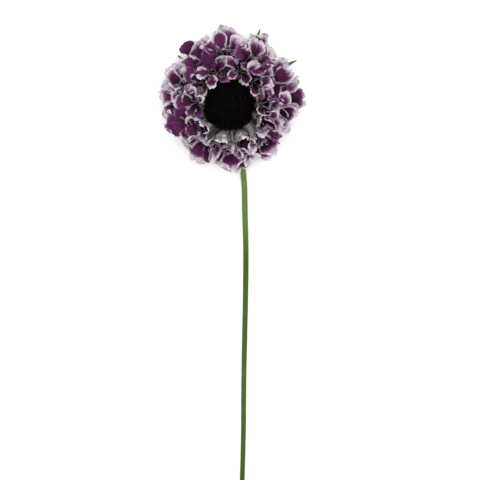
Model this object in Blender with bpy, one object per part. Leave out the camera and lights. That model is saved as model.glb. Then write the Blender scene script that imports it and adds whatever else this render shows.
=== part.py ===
"""A single cut scabiosa flower, lying on a surface with its face up.

Metres, +Z up, and the surface is z = 0. The stem lies along -Y and hooks up under
the head. The head nods a little towards the stem and rests on its bract tips. The
origin is in the middle of the flower's underside.
"""

import math
import random
from collections import namedtuple

import bmesh
import bpy
from mathutils import Matrix, Vector

MM = 0.001
UP = Vector((0, 0, 1))

# The head: where the stem meets it, and how far its face nods towards the stem
HEAD_BASE = Vector((-0.9, 85.3, 12.0)) * MM
NOD = math.radians(9)
HEAD = Matrix.Translation(HEAD_BASE) @ Matrix.Rotation(NOD, 4, "X")

# The receptacle, an egg that every floret grows from, as half widths and centre height
RECEPTACLE_RADIUS = 7.0 * MM
RECEPTACLE_HALF_HEIGHT = 4.5 * MM
RECEPTACLE_CENTRE = 4.6 * MM
RECEPTACLE_FLAT = 0.6 * MM

# The dark dome of unopened buds
DOME_RADIUS = 12.0 * MM
DOME_HALF_HEIGHT = 5.6 * MM
DOME_CENTRE = 15.3 * MM
DOME_BUD_COUNT = 66
DOME_BUD_RADIUS = 1.75 * MM
DOME_BUD_TIP = 0.5
DOME_BUD_LENGTH = 2.0 * MM
DOME_BUD_SUNK = 0.6 * MM
DOME_REACH = 1.35 * MM
DOME_BUDS_BEYOND_RIM = 1.05
GOLDEN_ANGLE = math.pi * (3 - math.sqrt(5))

# The stem: its radius at the cut end and under the head, and the route of its centre
STEM_CUT_RADIUS = 1.05 * MM
STEM_TOP_RADIUS = 1.45 * MM
STEM_BEND_RADIUS = 7.4 * MM
STEM_BEND_STEPS = 8
STEM_LEAVES_FLOOR = -7.6 * MM
STEM_SWAY = ((-204.6, 5.7), (-150.0, 6.7), (-75.0, 7.8), (-45.0, 7.2), (-20.0, 5.2), (-8.0, 1.7))
STEM_CUT_SLANT = math.radians(40)
STEM_TOP_GAP = 2.1 * MM
STEM_SIDES = 10
STEM_STEP = 6.0 * MM

# The green hub under the head and its ring of narrow bracts
HUB_RADIUS = 3.6 * MM
HUB_FOOT_RADIUS = 1.3 * STEM_TOP_RADIUS
HUB_HEIGHT = 1.5 * MM
BRACT_COUNT = 9
BRACT_START = math.radians(-41)
BRACT_STEP = math.radians(36)
BRACT_REACH = 32.0 * MM
BRACT_REACH_JITTER = (-2.5, 1.5)
BRACT_TIP_PRESSED = 0.25 * MM
BRACT_ROOT = 2.4 * MM
BRACT_THICKNESS = 0.7 * MM
BRACT_PROFILE = ((0.0, 2.0), (0.3, 3.6), (0.65, 3.0), (0.9, 1.5), (1.0, 0.7))
BRACT_RISE = 1.2 * MM
BRACT_SEED = 5

# Petal blades, the gaps that they keep to other nodes, and how far from the stem they lie over it
PETAL_THICKNESS = 0.6 * MM
CLEARANCE = 0.5 * MM
OVER_STEM = 3 * STEM_TOP_RADIUS
FLORET_SEED = 7
LOBES = 5
TUBE_ROOT_RADIUS = 0.8 * MM
THROAT_RADIUS = 1.1 * MM
FUNNEL_RADIUS = 2.3 * MM
FUNNEL_HEIGHT = 3.4 * MM

# A ring of florets, in the head's own frame. Heights run along the head's axis, angles are in
# degrees, and face is how far a floret's face turns away from that axis.
Ring = namedtuple("Ring", "name count start root_r root_h throat_r throat_h face lobe opening")
RINGS = (
    Ring("skirt", 9, 10, 4.5, 3.2, 17.0, -0.5, 88, 10.5, 52),
    Ring("outer", 12, 4, 5.0, 5.0, 21.0, 4.5, 56, 12.5, 54),
    Ring("middle", 10, 20, 5.5, 6.2, 18.5, 9.5, 44, 10.5, 56),
    Ring("inner", 10, 2, 5.5, 7.2, 14.6, 13.0, 30, 8.0, 60),
)
# For the outer lobe, the two beside it and the two inner ones: length, width and extra opening
LOBE_SHAPES = ((1.0, 0.64, 6), (0.82, 0.68, 2), (0.62, 0.76, -10))
JITTER_AZIMUTH = 0.18
JITTER_PLACE = 1.1
JITTER_FACE = 9
JITTER_ROLL = 14
JITTER_LOBE = 0.14
JITTER_OPENING = 9
JITTER_CURL = (0.2, 1.6)
LOBE_MID = 0.55
LOBE_TIP_WIDTH = 0.62
LOBE_APEX = 0.16
LOBE_CURL = math.radians(16)
# How far the lower rings hang level under the nodding head, from 0 to 1
LEVELLED = {"skirt": 1.0, "outer": 0.4}
# The inner ring's florets on the stem's side turn out from the dome, stand closer to it and close
# their inner lobes, in degrees, millimetres and degrees
INNER_TURNED = 34
INNER_PULLED = 2.0
INNER_TUCKED = 24
INNER_LOBES = (2, 3)

Lobe = namedtuple("Lobe", "angle length width opening curl")
Floret = namedtuple("Floret", "root frame lobes")


def outward(azimuth):
    """The unit vector at that azimuth in the plane across the head's axis."""
    return Vector((math.cos(azimuth), math.sin(azimuth), 0))


def stem_side(ring, azimuth):
    """How much a floret of the inner ring lies on the stem's side of the head, from 0 to 1."""
    return max(0.0, -math.sin(azimuth)) if ring.name == "inner" else 0.0


def floret_frame(ring, azimuth, draw):
    """A floret's own frame: origin in its throat, +Z out of its face, +X to its outer lobe."""
    level = LEVELLED.get(ring.name, 0.0) * math.sin(azimuth)
    turned = ring.face + INNER_TURNED * stem_side(ring, azimuth)
    face = math.radians(turned + draw.uniform(-JITTER_FACE, JITTER_FACE)) + level * NOD
    roll = math.radians(draw.uniform(-JITTER_ROLL, JITTER_ROLL))
    radius = ring.throat_r + draw.uniform(-JITTER_PLACE, JITTER_PLACE)
    radius -= INNER_PULLED * stem_side(ring, azimuth)
    height = ring.throat_h + draw.uniform(-JITTER_PLACE, JITTER_PLACE)
    height -= level * radius * math.tan(NOD)
    away = outward(azimuth)
    axis_z = math.sin(face) * away + math.cos(face) * UP
    axis_x = math.cos(face) * away - math.sin(face) * UP
    axis_y = axis_z.cross(axis_x)
    turn = Matrix((axis_x, axis_y, axis_z)).transposed().to_4x4()
    place = Matrix.Translation((radius * away + height * UP) * MM)
    return place @ turn @ Matrix.Rotation(roll, 4, "Z")


def floret_lobes(ring, azimuth, draw):
    """The five lobes of a floret, from its outer one round."""
    lobes = []
    for index in range(LOBES):
        length, width, opening = LOBE_SHAPES[min(index, LOBES - index)]
        size = ring.lobe * length * (1 + draw.uniform(-JITTER_LOBE, JITTER_LOBE)) * MM
        wide = size * width * (1 + draw.uniform(-JITTER_LOBE, JITTER_LOBE))
        opened = ring.opening + opening + draw.uniform(-JITTER_OPENING, JITTER_OPENING)
        if index in INNER_LOBES:
            opened -= INNER_TUCKED * stem_side(ring, azimuth)
        curl = LOBE_CURL * draw.uniform(*JITTER_CURL)
        lobes.append(Lobe(math.tau * index / LOBES, size, wide, math.radians(opened), curl))
    return lobes


def all_florets():
    """Every floret of the head, ring by ring, by one rule with a seeded irregularity."""
    draw = random.Random(FLORET_SEED)
    florets = []
    for ring in RINGS:
        for index in range(ring.count):
            step = index + draw.uniform(-JITTER_AZIMUTH, JITTER_AZIMUTH)
            azimuth = math.radians(ring.start) + math.tau * step / ring.count
            root = (ring.root_r * outward(azimuth) + ring.root_h * UP) * MM
            frame = floret_frame(ring, azimuth, draw)
            florets.append(Floret(root, frame, floret_lobes(ring, azimuth, draw)))
    return florets


def stem_sway(along):
    """How far the stem's centre lies to +X of the head, a given way along Y from the head."""
    for (y0, x0), (y1, x1) in zip(STEM_SWAY, STEM_SWAY[1:]):
        if along * 1000 <= y1:
            share = max(0.0, (along * 1000 - y0) / (y1 - y0))
            share = share * share * (3 - 2 * share)
            return (x0 + (x1 - x0) * share) * MM
    y1, x1 = STEM_SWAY[-1]
    share = min(1.0, (along * 1000 - y1) / -y1)
    return x1 * (1 - share) * MM


def bract_height(distance):
    """Height of a bract's middle at a level distance from the head's base."""
    share = min(1.0, max(0.0, (distance - BRACT_ROOT) / (BRACT_REACH - BRACT_ROOT)))
    tip = BRACT_THICKNESS / 2 - BRACT_TIP_PRESSED
    straight = (HEAD_BASE.z - HUB_HEIGHT / 2) * (1 - share) + tip * share
    return straight + BRACT_RISE * math.sin(math.pi * share)


def lowest_for_petals(x, y):
    """The lowest that a petal's face may lie to stay clear of the floor, the stem and the bracts."""
    away = Vector((x - HEAD_BASE.x, y - HEAD_BASE.y))
    lowest = PETAL_THICKNESS
    if away.length < BRACT_REACH + BRACT_THICKNESS:
        lowest = bract_height(away.length) + BRACT_THICKNESS / 2 + PETAL_THICKNESS + CLEARANCE
    beside_stem = abs(away.x - stem_sway(away.y))
    if away.y < 0 and beside_stem < OVER_STEM:
        lowest = max(lowest, 2 * STEM_TOP_RADIUS + PETAL_THICKNESS + CLEARANCE)
    return lowest


def bent_clear(point):
    """A petal's point in the world, moved clear of the dome and of what lies under the petals."""
    margin = DOME_REACH + PETAL_THICKNESS + CLEARANCE
    reach = Vector((DOME_RADIUS + margin, DOME_RADIUS + margin, DOME_HALF_HEIGHT + margin))
    from_dome = point - DOME_CENTRE * UP
    scaled = Vector(a / b for a, b in zip(from_dome, reach))
    if 0 < scaled.length < 1:
        point = DOME_CENTRE * UP + from_dome / scaled.length
    world = HEAD @ point
    world.z = max(world.z, lowest_for_petals(world.x, world.y))
    return world


def lobe_point(lobe, along, across):
    """A point of a lobe in its floret's frame: along 0 to 1 from funnel to tip, across in metres."""
    bearing = outward(lobe.angle)
    side = UP.cross(bearing)
    start = bearing * FUNNEL_RADIUS * math.cos(math.pi / LOBES) + UP * FUNNEL_HEIGHT
    low = min(along, LOBE_MID)
    high = max(0.0, along - LOBE_MID)
    first = math.sin(lobe.opening) * bearing + math.cos(lobe.opening) * UP
    bent = lobe.opening + lobe.curl
    second = math.sin(bent) * bearing + math.cos(bent) * UP
    return start + (first * low + second * high) * lobe.length + side * across


def grow_lobe(bm, edge, lobe):
    """Grows one lobe out of an edge of the funnel's rim, as a strip that widens and rounds off."""
    side = UP.cross(outward(lobe.angle))
    for along, half in ((LOBE_MID, lobe.width / 2), (1 - LOBE_APEX, lobe.width * LOBE_TIP_WIDTH / 2)):
        grown = bmesh.ops.extrude_edge_only(bm, edges=[edge])["geom"]
        for vert in (v for v in grown if isinstance(v, bmesh.types.BMVert)):
            vert.co = lobe_point(lobe, along, half if vert.co.dot(side) > 0 else -half)
        edge = next(e for e in grown if isinstance(e, bmesh.types.BMEdge) and len(e.link_faces) == 1
                    and all(v in grown for v in e.verts))
    middle = bmesh.ops.subdivide_edges(bm, edges=[edge], cuts=1)["geom_inner"]
    apex = next(v for v in middle if isinstance(v, bmesh.types.BMVert))
    apex.co = lobe_point(lobe, 1.0, 0.0)


def floret_mesh(floret):
    """A floret as one closed shape: a tube that opens into a funnel with five lobes."""
    bm = bmesh.new()
    bmesh.ops.create_circle(bm, cap_ends=True, segments=LOBES, radius=THROAT_RADIUS)
    # The circle's first corner is on +Y; this puts the middle of a side on +X.
    bmesh.ops.rotate(bm, verts=bm.verts, matrix=Matrix.Rotation(math.radians(90 / LOBES), 3, "Z"))
    throat = set(bm.verts)
    rim = bmesh.ops.extrude_edge_only(bm, edges=bm.edges)["geom"]
    for vert in (v for v in rim if isinstance(v, bmesh.types.BMVert)):
        vert.co = vert.co / THROAT_RADIUS * FUNNEL_RADIUS + UP * FUNNEL_HEIGHT
    edges = [e for e in rim if isinstance(e, bmesh.types.BMEdge) and not throat & set(e.verts)]
    for edge in edges:
        middle = (edge.verts[0].co + edge.verts[1].co) / 2
        index = round(math.atan2(middle.y, middle.x) / (math.tau / LOBES)) % LOBES
        grow_lobe(bm, edge, floret.lobes[index])
    for vert in bm.verts:
        vert.co = bent_clear(floret.frame @ vert.co)
    bmesh.ops.recalc_face_normals(bm, faces=bm.faces)
    face_out = (HEAD.to_3x3() @ floret.frame.to_3x3()) @ UP
    bm.faces.ensure_lookup_table()
    if sum((f.normal * f.calc_area() for f in bm.faces), Vector()).dot(face_out) < 0:
        bmesh.ops.reverse_faces(bm, faces=bm.faces)
    bmesh.ops.triangulate(bm, faces=bm.faces)
    mark = bm.verts.layers.int.new("throat")
    for vert in bm.verts:
        vert[mark] = vert in throat
    bmesh.ops.solidify(bm, geom=bm.faces, thickness=PETAL_THICKNESS)
    marked = [v for v in bm.verts if v[mark]]
    behind = sorted(marked, key=lambda v: v.co.dot(face_out))[:LOBES]
    root = HEAD @ floret.root
    middle = sum((v.co for v in behind), Vector()) / LOBES
    for vert in behind:
        spoke = vert.co - middle
        vert.co = root + spoke.normalized() * TUBE_ROOT_RADIUS
    mesh = bpy.data.meshes.new("floret")
    bm.to_mesh(mesh)
    bm.free()
    return mesh


def ellipsoid_mesh(name, segments, rings, radius, half_height, centre):
    """A squashed ball round the head's axis, in the world frame."""
    bm = bmesh.new()
    bmesh.ops.create_uvsphere(bm, u_segments=segments, v_segments=rings, radius=1)
    bmesh.ops.scale(bm, verts=bm.verts, vec=(radius, radius, half_height))
    bmesh.ops.translate(bm, verts=bm.verts, vec=centre * UP)
    mesh = bpy.data.meshes.new(name)
    bm.to_mesh(mesh)
    bm.free()
    return mesh


def dome_bud_mesh(azimuth, sine):
    """One bud of the dome: a blunt cone that stands out of the dome at that place."""
    cosine = math.sqrt(1 - sine * sine)
    unit = cosine * outward(azimuth) + sine * UP
    normal = Vector((unit.x / DOME_RADIUS, unit.y / DOME_RADIUS, unit.z / DOME_HALF_HEIGHT)).normalized()
    foot = Vector((unit.x * DOME_RADIUS, unit.y * DOME_RADIUS, unit.z * DOME_HALF_HEIGHT))
    foot += DOME_CENTRE * UP - normal * DOME_BUD_SUNK
    turn = UP.rotation_difference(normal).to_matrix().to_4x4()
    bm = bmesh.new()
    bmesh.ops.create_cone(
        bm,
        cap_ends=True,
        segments=5,
        radius1=DOME_BUD_RADIUS,
        radius2=DOME_BUD_RADIUS * DOME_BUD_TIP,
        depth=DOME_BUD_LENGTH,
    )
    bmesh.ops.translate(bm, verts=bm.verts, vec=UP * DOME_BUD_LENGTH / 2)
    bmesh.ops.transform(bm, verts=bm.verts, matrix=HEAD @ Matrix.Translation(foot) @ turn)
    mesh = bpy.data.meshes.new("dome_bud")
    bm.to_mesh(mesh)
    bm.free()
    return mesh


def hub_mesh():
    """The green hub that the bracts grow from, a short drum under the receptacle."""
    bm = bmesh.new()
    bmesh.ops.create_cone(
        bm,
        cap_ends=True,
        segments=20,
        radius1=HUB_FOOT_RADIUS,
        radius2=HUB_RADIUS,
        depth=HUB_HEIGHT,
    )
    bmesh.ops.translate(bm, verts=bm.verts, vec=-UP * HUB_HEIGHT / 2)
    bmesh.ops.transform(bm, verts=bm.verts, matrix=HEAD)
    mesh = bpy.data.meshes.new("involucre")
    bm.to_mesh(mesh)
    bm.free()
    return mesh


def bract_mesh(azimuth, reach):
    """A narrow bract that runs out from the hub and comes down to rest its tip on the floor."""
    away = outward(azimuth)
    side = UP.cross(away)
    bm = bmesh.new()
    bmesh.ops.create_grid(bm, x_segments=1, y_segments=len(BRACT_PROFILE) - 1, size=0.5)
    for vert in bm.verts:
        share, width = BRACT_PROFILE[round((vert.co.y + 0.5) * (len(BRACT_PROFILE) - 1))]
        distance = BRACT_ROOT + (reach - BRACT_ROOT) * share
        flat = distance * away + side * math.copysign(width * MM / 2, vert.co.x)
        height = bract_height(BRACT_ROOT + (BRACT_REACH - BRACT_ROOT) * share)
        vert.co = HEAD_BASE + Vector((flat.x, flat.y, height - HEAD_BASE.z + BRACT_THICKNESS / 2))
    bmesh.ops.triangulate(bm, faces=bm.faces)
    bmesh.ops.recalc_face_normals(bm, faces=bm.faces)
    if sum((f.normal.z for f in bm.faces)) < 0:
        bmesh.ops.reverse_faces(bm, faces=bm.faces)
    bmesh.ops.solidify(bm, geom=bm.faces, thickness=BRACT_THICKNESS)
    for vert in bm.verts:
        vert.co.z = max(vert.co.z, 0.0)
    mesh = bpy.data.meshes.new("bract")
    bm.to_mesh(mesh)
    bm.free()
    return mesh


def stem_points():
    """The stem's centre line with its radius, from the cut end to the head."""
    top = HEAD @ (-UP * STEM_TOP_GAP)
    turn = math.pi / 2 + NOD
    run = STEM_LEAVES_FLOOR - STEM_SWAY[0][0] * MM
    count = round(run / STEM_STEP)
    places = [(STEM_SWAY[0][0] * MM + run * i / count, 0.0) for i in range(count)]
    for index in range(STEM_BEND_STEPS + 1):
        angle = turn * index / STEM_BEND_STEPS
        places.append((STEM_LEAVES_FLOOR + STEM_BEND_RADIUS * math.sin(angle),
                       STEM_BEND_RADIUS * (1 - math.cos(angle))))
    last_y, last_z = places[-1]
    points = []
    for index, (along, rise) in enumerate(places):
        share = index / (len(places) - 1)
        radius = STEM_CUT_RADIUS + (STEM_TOP_RADIUS - STEM_CUT_RADIUS) * share
        lift = rise / last_z if last_z else 0.0
        x = HEAD_BASE.x + stem_sway(along) * (1 - lift)
        y = HEAD_BASE.y + along + (top.y - HEAD_BASE.y - last_y) * lift
        z = radius + (top.z - radius) * lift
        points.append((Vector((x, y, z)), radius))
    return points


def make_object(name, mesh, collection):
    """Links a new object with this mesh to the collection."""
    obj = bpy.data.objects.new(name, mesh)
    collection.objects.link(obj)
    return obj


def keep_outer_body(mesh):
    """Fills the hollows that fusing sealed and drops loose scraps, so that one body is left."""
    bm = bmesh.new()
    bm.from_mesh(mesh)
    unseen = set(bm.verts)
    bodies = []
    while unseen:
        body = set()
        edge_of_body = [unseen.pop()]
        while edge_of_body:
            vert = edge_of_body.pop()
            body.add(vert)
            joined = {e.other_vert(vert) for e in vert.link_edges} & unseen
            unseen -= joined
            edge_of_body.extend(joined)
        bodies.append(body)
    bodies.sort(key=len)
    for body in bodies[:-1]:
        bmesh.ops.delete(bm, geom=list(body), context="VERTS")
    bm.to_mesh(mesh)
    bm.free()


def fused(target, meshes, solver):
    """Joins the meshes to the target with one Boolean union, applied, and drops the helpers."""
    helpers = bpy.data.collections.new(target.name + "_repeats")
    bpy.context.scene.collection.children.link(helpers)
    for mesh in meshes:
        make_object(mesh.name, mesh, helpers)
    union = target.modifiers.new("fuse", "BOOLEAN")
    union.operation = "UNION"
    union.operand_type = "COLLECTION"
    union.collection = helpers
    union.solver = solver
    bpy.context.view_layer.update()
    graph = bpy.context.evaluated_depsgraph_get()
    result = bpy.data.meshes.new_from_object(target.evaluated_get(graph))
    target.modifiers.clear()
    target.data = result
    keep_outer_body(result)
    for helper in list(helpers.objects):
        bpy.data.objects.remove(helper)
    bpy.data.collections.remove(helpers)


def build_stem(parts):
    """The round stem, with its foot cut on a slant."""
    curve = bpy.data.curves.new("stem_route", "CURVE")
    curve.dimensions = "3D"
    curve.bevel_depth = 1.0
    curve.bevel_resolution = STEM_SIDES // 4
    curve.use_fill_caps = True
    points = stem_points()
    spline = curve.splines.new("POLY")
    spline.points.add(len(points) - 1)
    for target, (place, radius) in zip(spline.points, points):
        target.co = (*place, 1)
        target.radius = radius
    route = make_object("stem_route", curve, parts)
    bpy.context.view_layer.update()
    graph = bpy.context.evaluated_depsgraph_get()
    mesh = bpy.data.meshes.new_from_object(route.evaluated_get(graph))
    bpy.data.objects.remove(route)
    bm = bmesh.new()
    bm.from_mesh(mesh)
    bmesh.ops.remove_doubles(bm, verts=bm.verts, dist=0.01 * MM)
    foot = points[0][0] + Vector((0, STEM_CUT_RADIUS * math.tan(STEM_CUT_SLANT), 0))
    plane = Vector((0, -math.cos(STEM_CUT_SLANT), math.sin(STEM_CUT_SLANT)))
    cut = bmesh.ops.bisect_plane(
        bm, geom=bm.verts[:] + bm.edges[:] + bm.faces[:], plane_co=foot, plane_no=plane, clear_outer=True
    )
    edges = [e for e in cut["geom_cut"] if isinstance(e, bmesh.types.BMEdge)]
    bmesh.ops.edgeloop_fill(bm, edges=edges)
    for vert in bm.verts:
        vert.co.z = max(vert.co.z, 0.0)
    bmesh.ops.recalc_face_normals(bm, faces=bm.faces)
    bm.to_mesh(mesh)
    bm.free()
    return make_object("stem", mesh, parts)


def build_involucre(parts):
    """The hub with its bracts, in one piece."""
    draw = random.Random(BRACT_SEED)
    involucre = make_object("involucre", hub_mesh(), parts)
    bracts = []
    for index in range(BRACT_COUNT):
        azimuth = BRACT_START + BRACT_STEP * index
        bracts.append(bract_mesh(azimuth, BRACT_REACH + draw.uniform(*BRACT_REACH_JITTER) * MM))
    fused(involucre, bracts, "EXACT")
    return involucre


def build_florets(parts):
    """The receptacle with every floret that grows from it, in one piece."""
    mesh = ellipsoid_mesh(
        "florets", 16, 9, RECEPTACLE_RADIUS, RECEPTACLE_HALF_HEIGHT, RECEPTACLE_CENTRE
    )
    for vert in mesh.vertices:
        vert.co.z = max(vert.co.z, RECEPTACLE_FLAT)
    mesh.transform(HEAD)
    florets = make_object("florets", mesh, parts)
    fused(florets, [floret_mesh(floret) for floret in all_florets()], "MANIFOLD")
    return florets


def build_dome(parts):
    """The dome of dark buds, with the buds spread evenly in a spiral."""
    mesh = ellipsoid_mesh("bud_dome", 20, 9, DOME_RADIUS, DOME_HALF_HEIGHT, DOME_CENTRE)
    mesh.transform(HEAD)
    dome = make_object("bud_dome", mesh, parts)
    buds = []
    for index in range(DOME_BUD_COUNT):
        sine = 1 - (index + 0.5) / DOME_BUD_COUNT * DOME_BUDS_BEYOND_RIM
        buds.append(dome_bud_mesh(index * GOLDEN_ANGLE, sine))
    fused(dome, buds, "MANIFOLD")
    return dome


def paint(obj, name, colour, roughness):
    """Gives an object its own plain material."""
    material = bpy.data.materials.new(name)
    material.use_nodes = True
    shader = material.node_tree.nodes["Principled BSDF"]
    shader.inputs["Base Color"].default_value = (*colour, 1)
    shader.inputs["Roughness"].default_value = roughness
    shader.inputs["Metallic"].default_value = 0.0
    obj.data.materials.clear()
    obj.data.materials.append(material)


def main():
    """Clears the scene and builds the four pieces of the flower."""
    for obj in list(bpy.data.objects):
        bpy.data.objects.remove(obj)
    parts = bpy.data.collections.new("scabiosa_flower")
    bpy.context.scene.collection.children.link(parts)
    paint(build_stem(parts), "stem_green", (0.12, 0.22, 0.045), 0.55)
    paint(build_involucre(parts), "bract_green", (0.10, 0.16, 0.04), 0.6)
    paint(build_florets(parts), "petal_purple", (0.16, 0.05, 0.15), 0.5)
    paint(build_dome(parts), "bud_black", (0.008, 0.007, 0.006), 0.6)


if __name__ == "__main__":
    main()
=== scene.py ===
"""The looks of a single cut scabiosa that lies face up: florets, buds, bracts, stem and studio."""

import logging
import math
import random
from collections.abc import Callable, Iterable
from dataclasses import dataclass, field
from enum import Enum

import bmesh
import bpy
from mathutils import Matrix, Vector, noise


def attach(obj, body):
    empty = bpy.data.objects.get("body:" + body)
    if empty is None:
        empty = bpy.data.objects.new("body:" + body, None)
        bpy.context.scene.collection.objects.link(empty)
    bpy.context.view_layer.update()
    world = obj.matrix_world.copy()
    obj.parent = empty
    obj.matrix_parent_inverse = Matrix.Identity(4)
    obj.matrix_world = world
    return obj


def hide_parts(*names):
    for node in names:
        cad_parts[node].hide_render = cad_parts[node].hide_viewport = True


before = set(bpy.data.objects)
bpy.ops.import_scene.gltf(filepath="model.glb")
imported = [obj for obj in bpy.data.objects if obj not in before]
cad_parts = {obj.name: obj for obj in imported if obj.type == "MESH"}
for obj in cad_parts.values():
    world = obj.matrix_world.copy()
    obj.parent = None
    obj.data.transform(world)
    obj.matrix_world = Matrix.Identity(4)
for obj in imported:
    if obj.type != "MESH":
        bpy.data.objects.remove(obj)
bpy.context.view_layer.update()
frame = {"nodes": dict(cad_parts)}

LOG = logging.getLogger("scabiosa")
MM = 0.001
UP = Vector((0, 0, 1))
BODY = "root"
GOLDEN_ANGLE = math.pi * (3 - math.sqrt(5))
LOBES = 5
SHEEN_ROUGHNESS = 0.5
# Further above its floor than this, in units of the softness, a value isn't changed any more
CLEAR_OF_CORNER = 20
# The attribute that holds each vertex's angle round its sweep
TURN = "turn"
PETAL_ATTRIBUTES = ("across", "along", "margin", "pale", "white", "tone")
# Blender's Mix node keeps its colour sockets at these places
MIX_SHARE, MIX_FIRST, MIX_SECOND, MIX_RESULT = 0, 6, 7, 2

# A span has a low and a high end, and a route has a place and a radius or angle at each step
Span = tuple[float, float]
Route = list[tuple[Vector, float]]
Colour = tuple[float, float, float]
Socket, Material = bpy.types.NodeSocket, bpy.types.Material
Mesh, Vert, Edge = bmesh.types.BMesh, bmesh.types.BMVert, bmesh.types.BMEdge


def outward(azimuth: float) -> Vector:
    """The level unit vector at that azimuth."""
    return Vector((math.cos(azimuth), math.sin(azimuth), 0))


def mixed(low: float, high: float, share: float) -> float:
    """The value that lies that share of the way from low to high."""
    return low + (high - low) * share


def eased(share: float) -> float:
    """Goes from 0 to 1 with a gentle start and end, and stays there outside."""
    share = min(1.0, max(0.0, share))
    return share * share * (3 - 2 * share)


def past(share: float, start: float) -> float:
    """Goes from 0 at a start to 1 at the end, with a gentle start and end."""
    return eased((share - start) / (1 - start))


def softly_above(value: float, floor: float, softness: float) -> float:
    """The value, held above a floor with a soft corner in place of a kink."""
    lift = (value - floor) / softness
    if lift > CLEAR_OF_CORNER:
        return value
    return floor + softness * math.log1p(math.exp(lift))


def extruded(bm: Mesh, edges: Iterable) -> tuple[list, list]:
    """Extrudes a chain of edges.

    Args:
        bm: the mesh that they are in.
        edges: the edges of the chain.

    Returns:
        The new chain's edges and its vertices, in no order.
    """
    grown = bmesh.ops.extrude_edge_only(bm, edges=list(edges))["geom"]
    verts = [part for part in grown if isinstance(part, Vert)]
    new = set(verts)
    grown_edges = [part for part in grown if isinstance(part, Edge)]
    return [edge for edge in grown_edges if new.issuperset(edge.verts)], verts


def started(*names: str) -> tuple[Mesh, dict]:
    """A new mesh whose vertices carry the named floats, with their layers by name."""
    bm = bmesh.new()
    for name in names:
        bm.verts.layers.float.new(name)
    return bm, {name: bm.verts.layers.float[name] for name in names}


def swept(
    bm: Mesh,
    sides: int,
    levels: int,
    placed: Callable[[int, float, Vert], None],
    capped: bool = False,
) -> list[Edge]:
    """Sweeps a ring of vertices through several levels, with a skin between them.

    Args:
        bm: the mesh to add to, whose vertices carry the turn.
        sides: how many vertices the ring has.
        levels: how many levels it goes through.
        placed: puts one vertex in place, from its level and its turn.
        capped: whether the first ring is closed.

    Returns:
        The last ring's edges.
    """
    turn = bm.verts.layers.float[TURN]
    verts = bmesh.ops.create_circle(bm, cap_ends=capped, segments=sides, radius=1.0)["verts"]
    chain = list(bm.edges)[-sides:]
    for vert in verts:
        vert[turn] = math.atan2(vert.co.y, vert.co.x) % math.tau
    for level in range(levels):
        if level:
            chain, verts = extruded(bm, chain)
        for vert in verts:
            placed(level, vert[turn], vert)
    return chain


def without_turn(bm: Mesh) -> Mesh:
    """The same mesh, once the turn that its sweep needed is taken off its vertices."""
    bm.verts.layers.float.remove(bm.verts.layers.float[TURN])
    return bm


def thickened(piece: bpy.types.Object, thickness: float, offset: float, backs: int = 0) -> None:
    """Gives a piece made of sheets a thickness.

    Args:
        piece: the piece.
        thickness: how thick the sheets become, in metres.
        offset: where the thickness goes, from -1 for behind the sheet to 1 for in front.
        backs: how many places further on in the piece's materials the backs' one is.
    """
    shell = piece.modifiers.new("thickness", "SOLIDIFY")
    shell.thickness = thickness
    shell.offset = offset
    shell.material_offset = backs


def spike(foot: float, tip: float, length: float, *names: str) -> tuple[Mesh, dict]:
    """A thin three-sided spike round its own middle.

    Args:
        foot: its radius at the foot.
        tip: its radius at the tip.
        length: its length.
        names: the floats that its vertices carry.

    Returns:
        The spike's mesh, and the floats' layers by name.
    """
    bm, layers = started(*names)
    bmesh.ops.create_cone(bm, cap_ends=True, segments=3, radius1=foot, radius2=tip, depth=length)
    return bm, layers


def framed(axis_x: Vector, axis_y: Vector, axis_z: Vector) -> Matrix:
    """The turn that has those axes."""
    return Matrix((axis_x, axis_y, axis_z)).transposed().to_4x4()


def marked(vert: Vert, layers: dict, **values: float) -> None:
    """Sets some of a vertex's attributes."""
    for name, value in values.items():
        vert[layers[name]] = value


class Stamp:
    """A small mesh that is copied into a larger one, with its vertex attributes."""

    def __init__(self, source: Mesh) -> None:
        """Keeps the small mesh, and frees its maker."""
        self.mesh = bpy.data.meshes.new("stamp")
        source.to_mesh(self.mesh)
        source.free()

    def press(self, target: Mesh, place: Matrix = Matrix.Identity(4)) -> None:
        """Adds one copy at a place in the larger mesh."""
        copy = self.mesh.copy()
        copy.transform(place)
        target.from_mesh(copy)
        bpy.data.meshes.remove(copy)

    def drop(self) -> None:
        """Removes the small mesh when it has done its work."""
        bpy.data.meshes.remove(self.mesh)


def stretched(x: float, y: float, z: float) -> Matrix:
    """The matrix that stretches along each axis by that much."""
    return Matrix.Diagonal((x, y, z, 1))


def leaning(draw: random.Random, most: float) -> Matrix:
    """A lean about X and Y by a drawn angle of that size at most."""
    lean_x = Matrix.Rotation(draw.uniform(-most, most), 4, "X")
    return lean_x @ Matrix.Rotation(draw.uniform(-most, most), 4, "Y")


def finished(
    name: str,
    bm: Mesh,
    materials: list[Material],
    replaced: tuple[str, ...],
) -> bpy.types.Object:
    """Makes a piece of the flower from a mesh, smooth shaded, and rides it on the flower's body.

    Args:
        name: the piece's name.
        bm: its mesh, which is freed.
        materials: its materials, in slot order.
        replaced: the frame's nodes that it stands for.

    Returns:
        The piece.
    """
    mesh = bpy.data.meshes.new(name)
    bm.to_mesh(mesh)
    bm.free()
    mesh.shade_smooth()
    for material in materials:
        mesh.materials.append(material)
    piece = bpy.data.objects.new(name, mesh)
    bpy.context.scene.collection.objects.link(piece)
    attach(piece, BODY)
    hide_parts(*replaced)
    LOG.info("%s: %d faces", name, len(mesh.polygons))
    return piece


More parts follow.
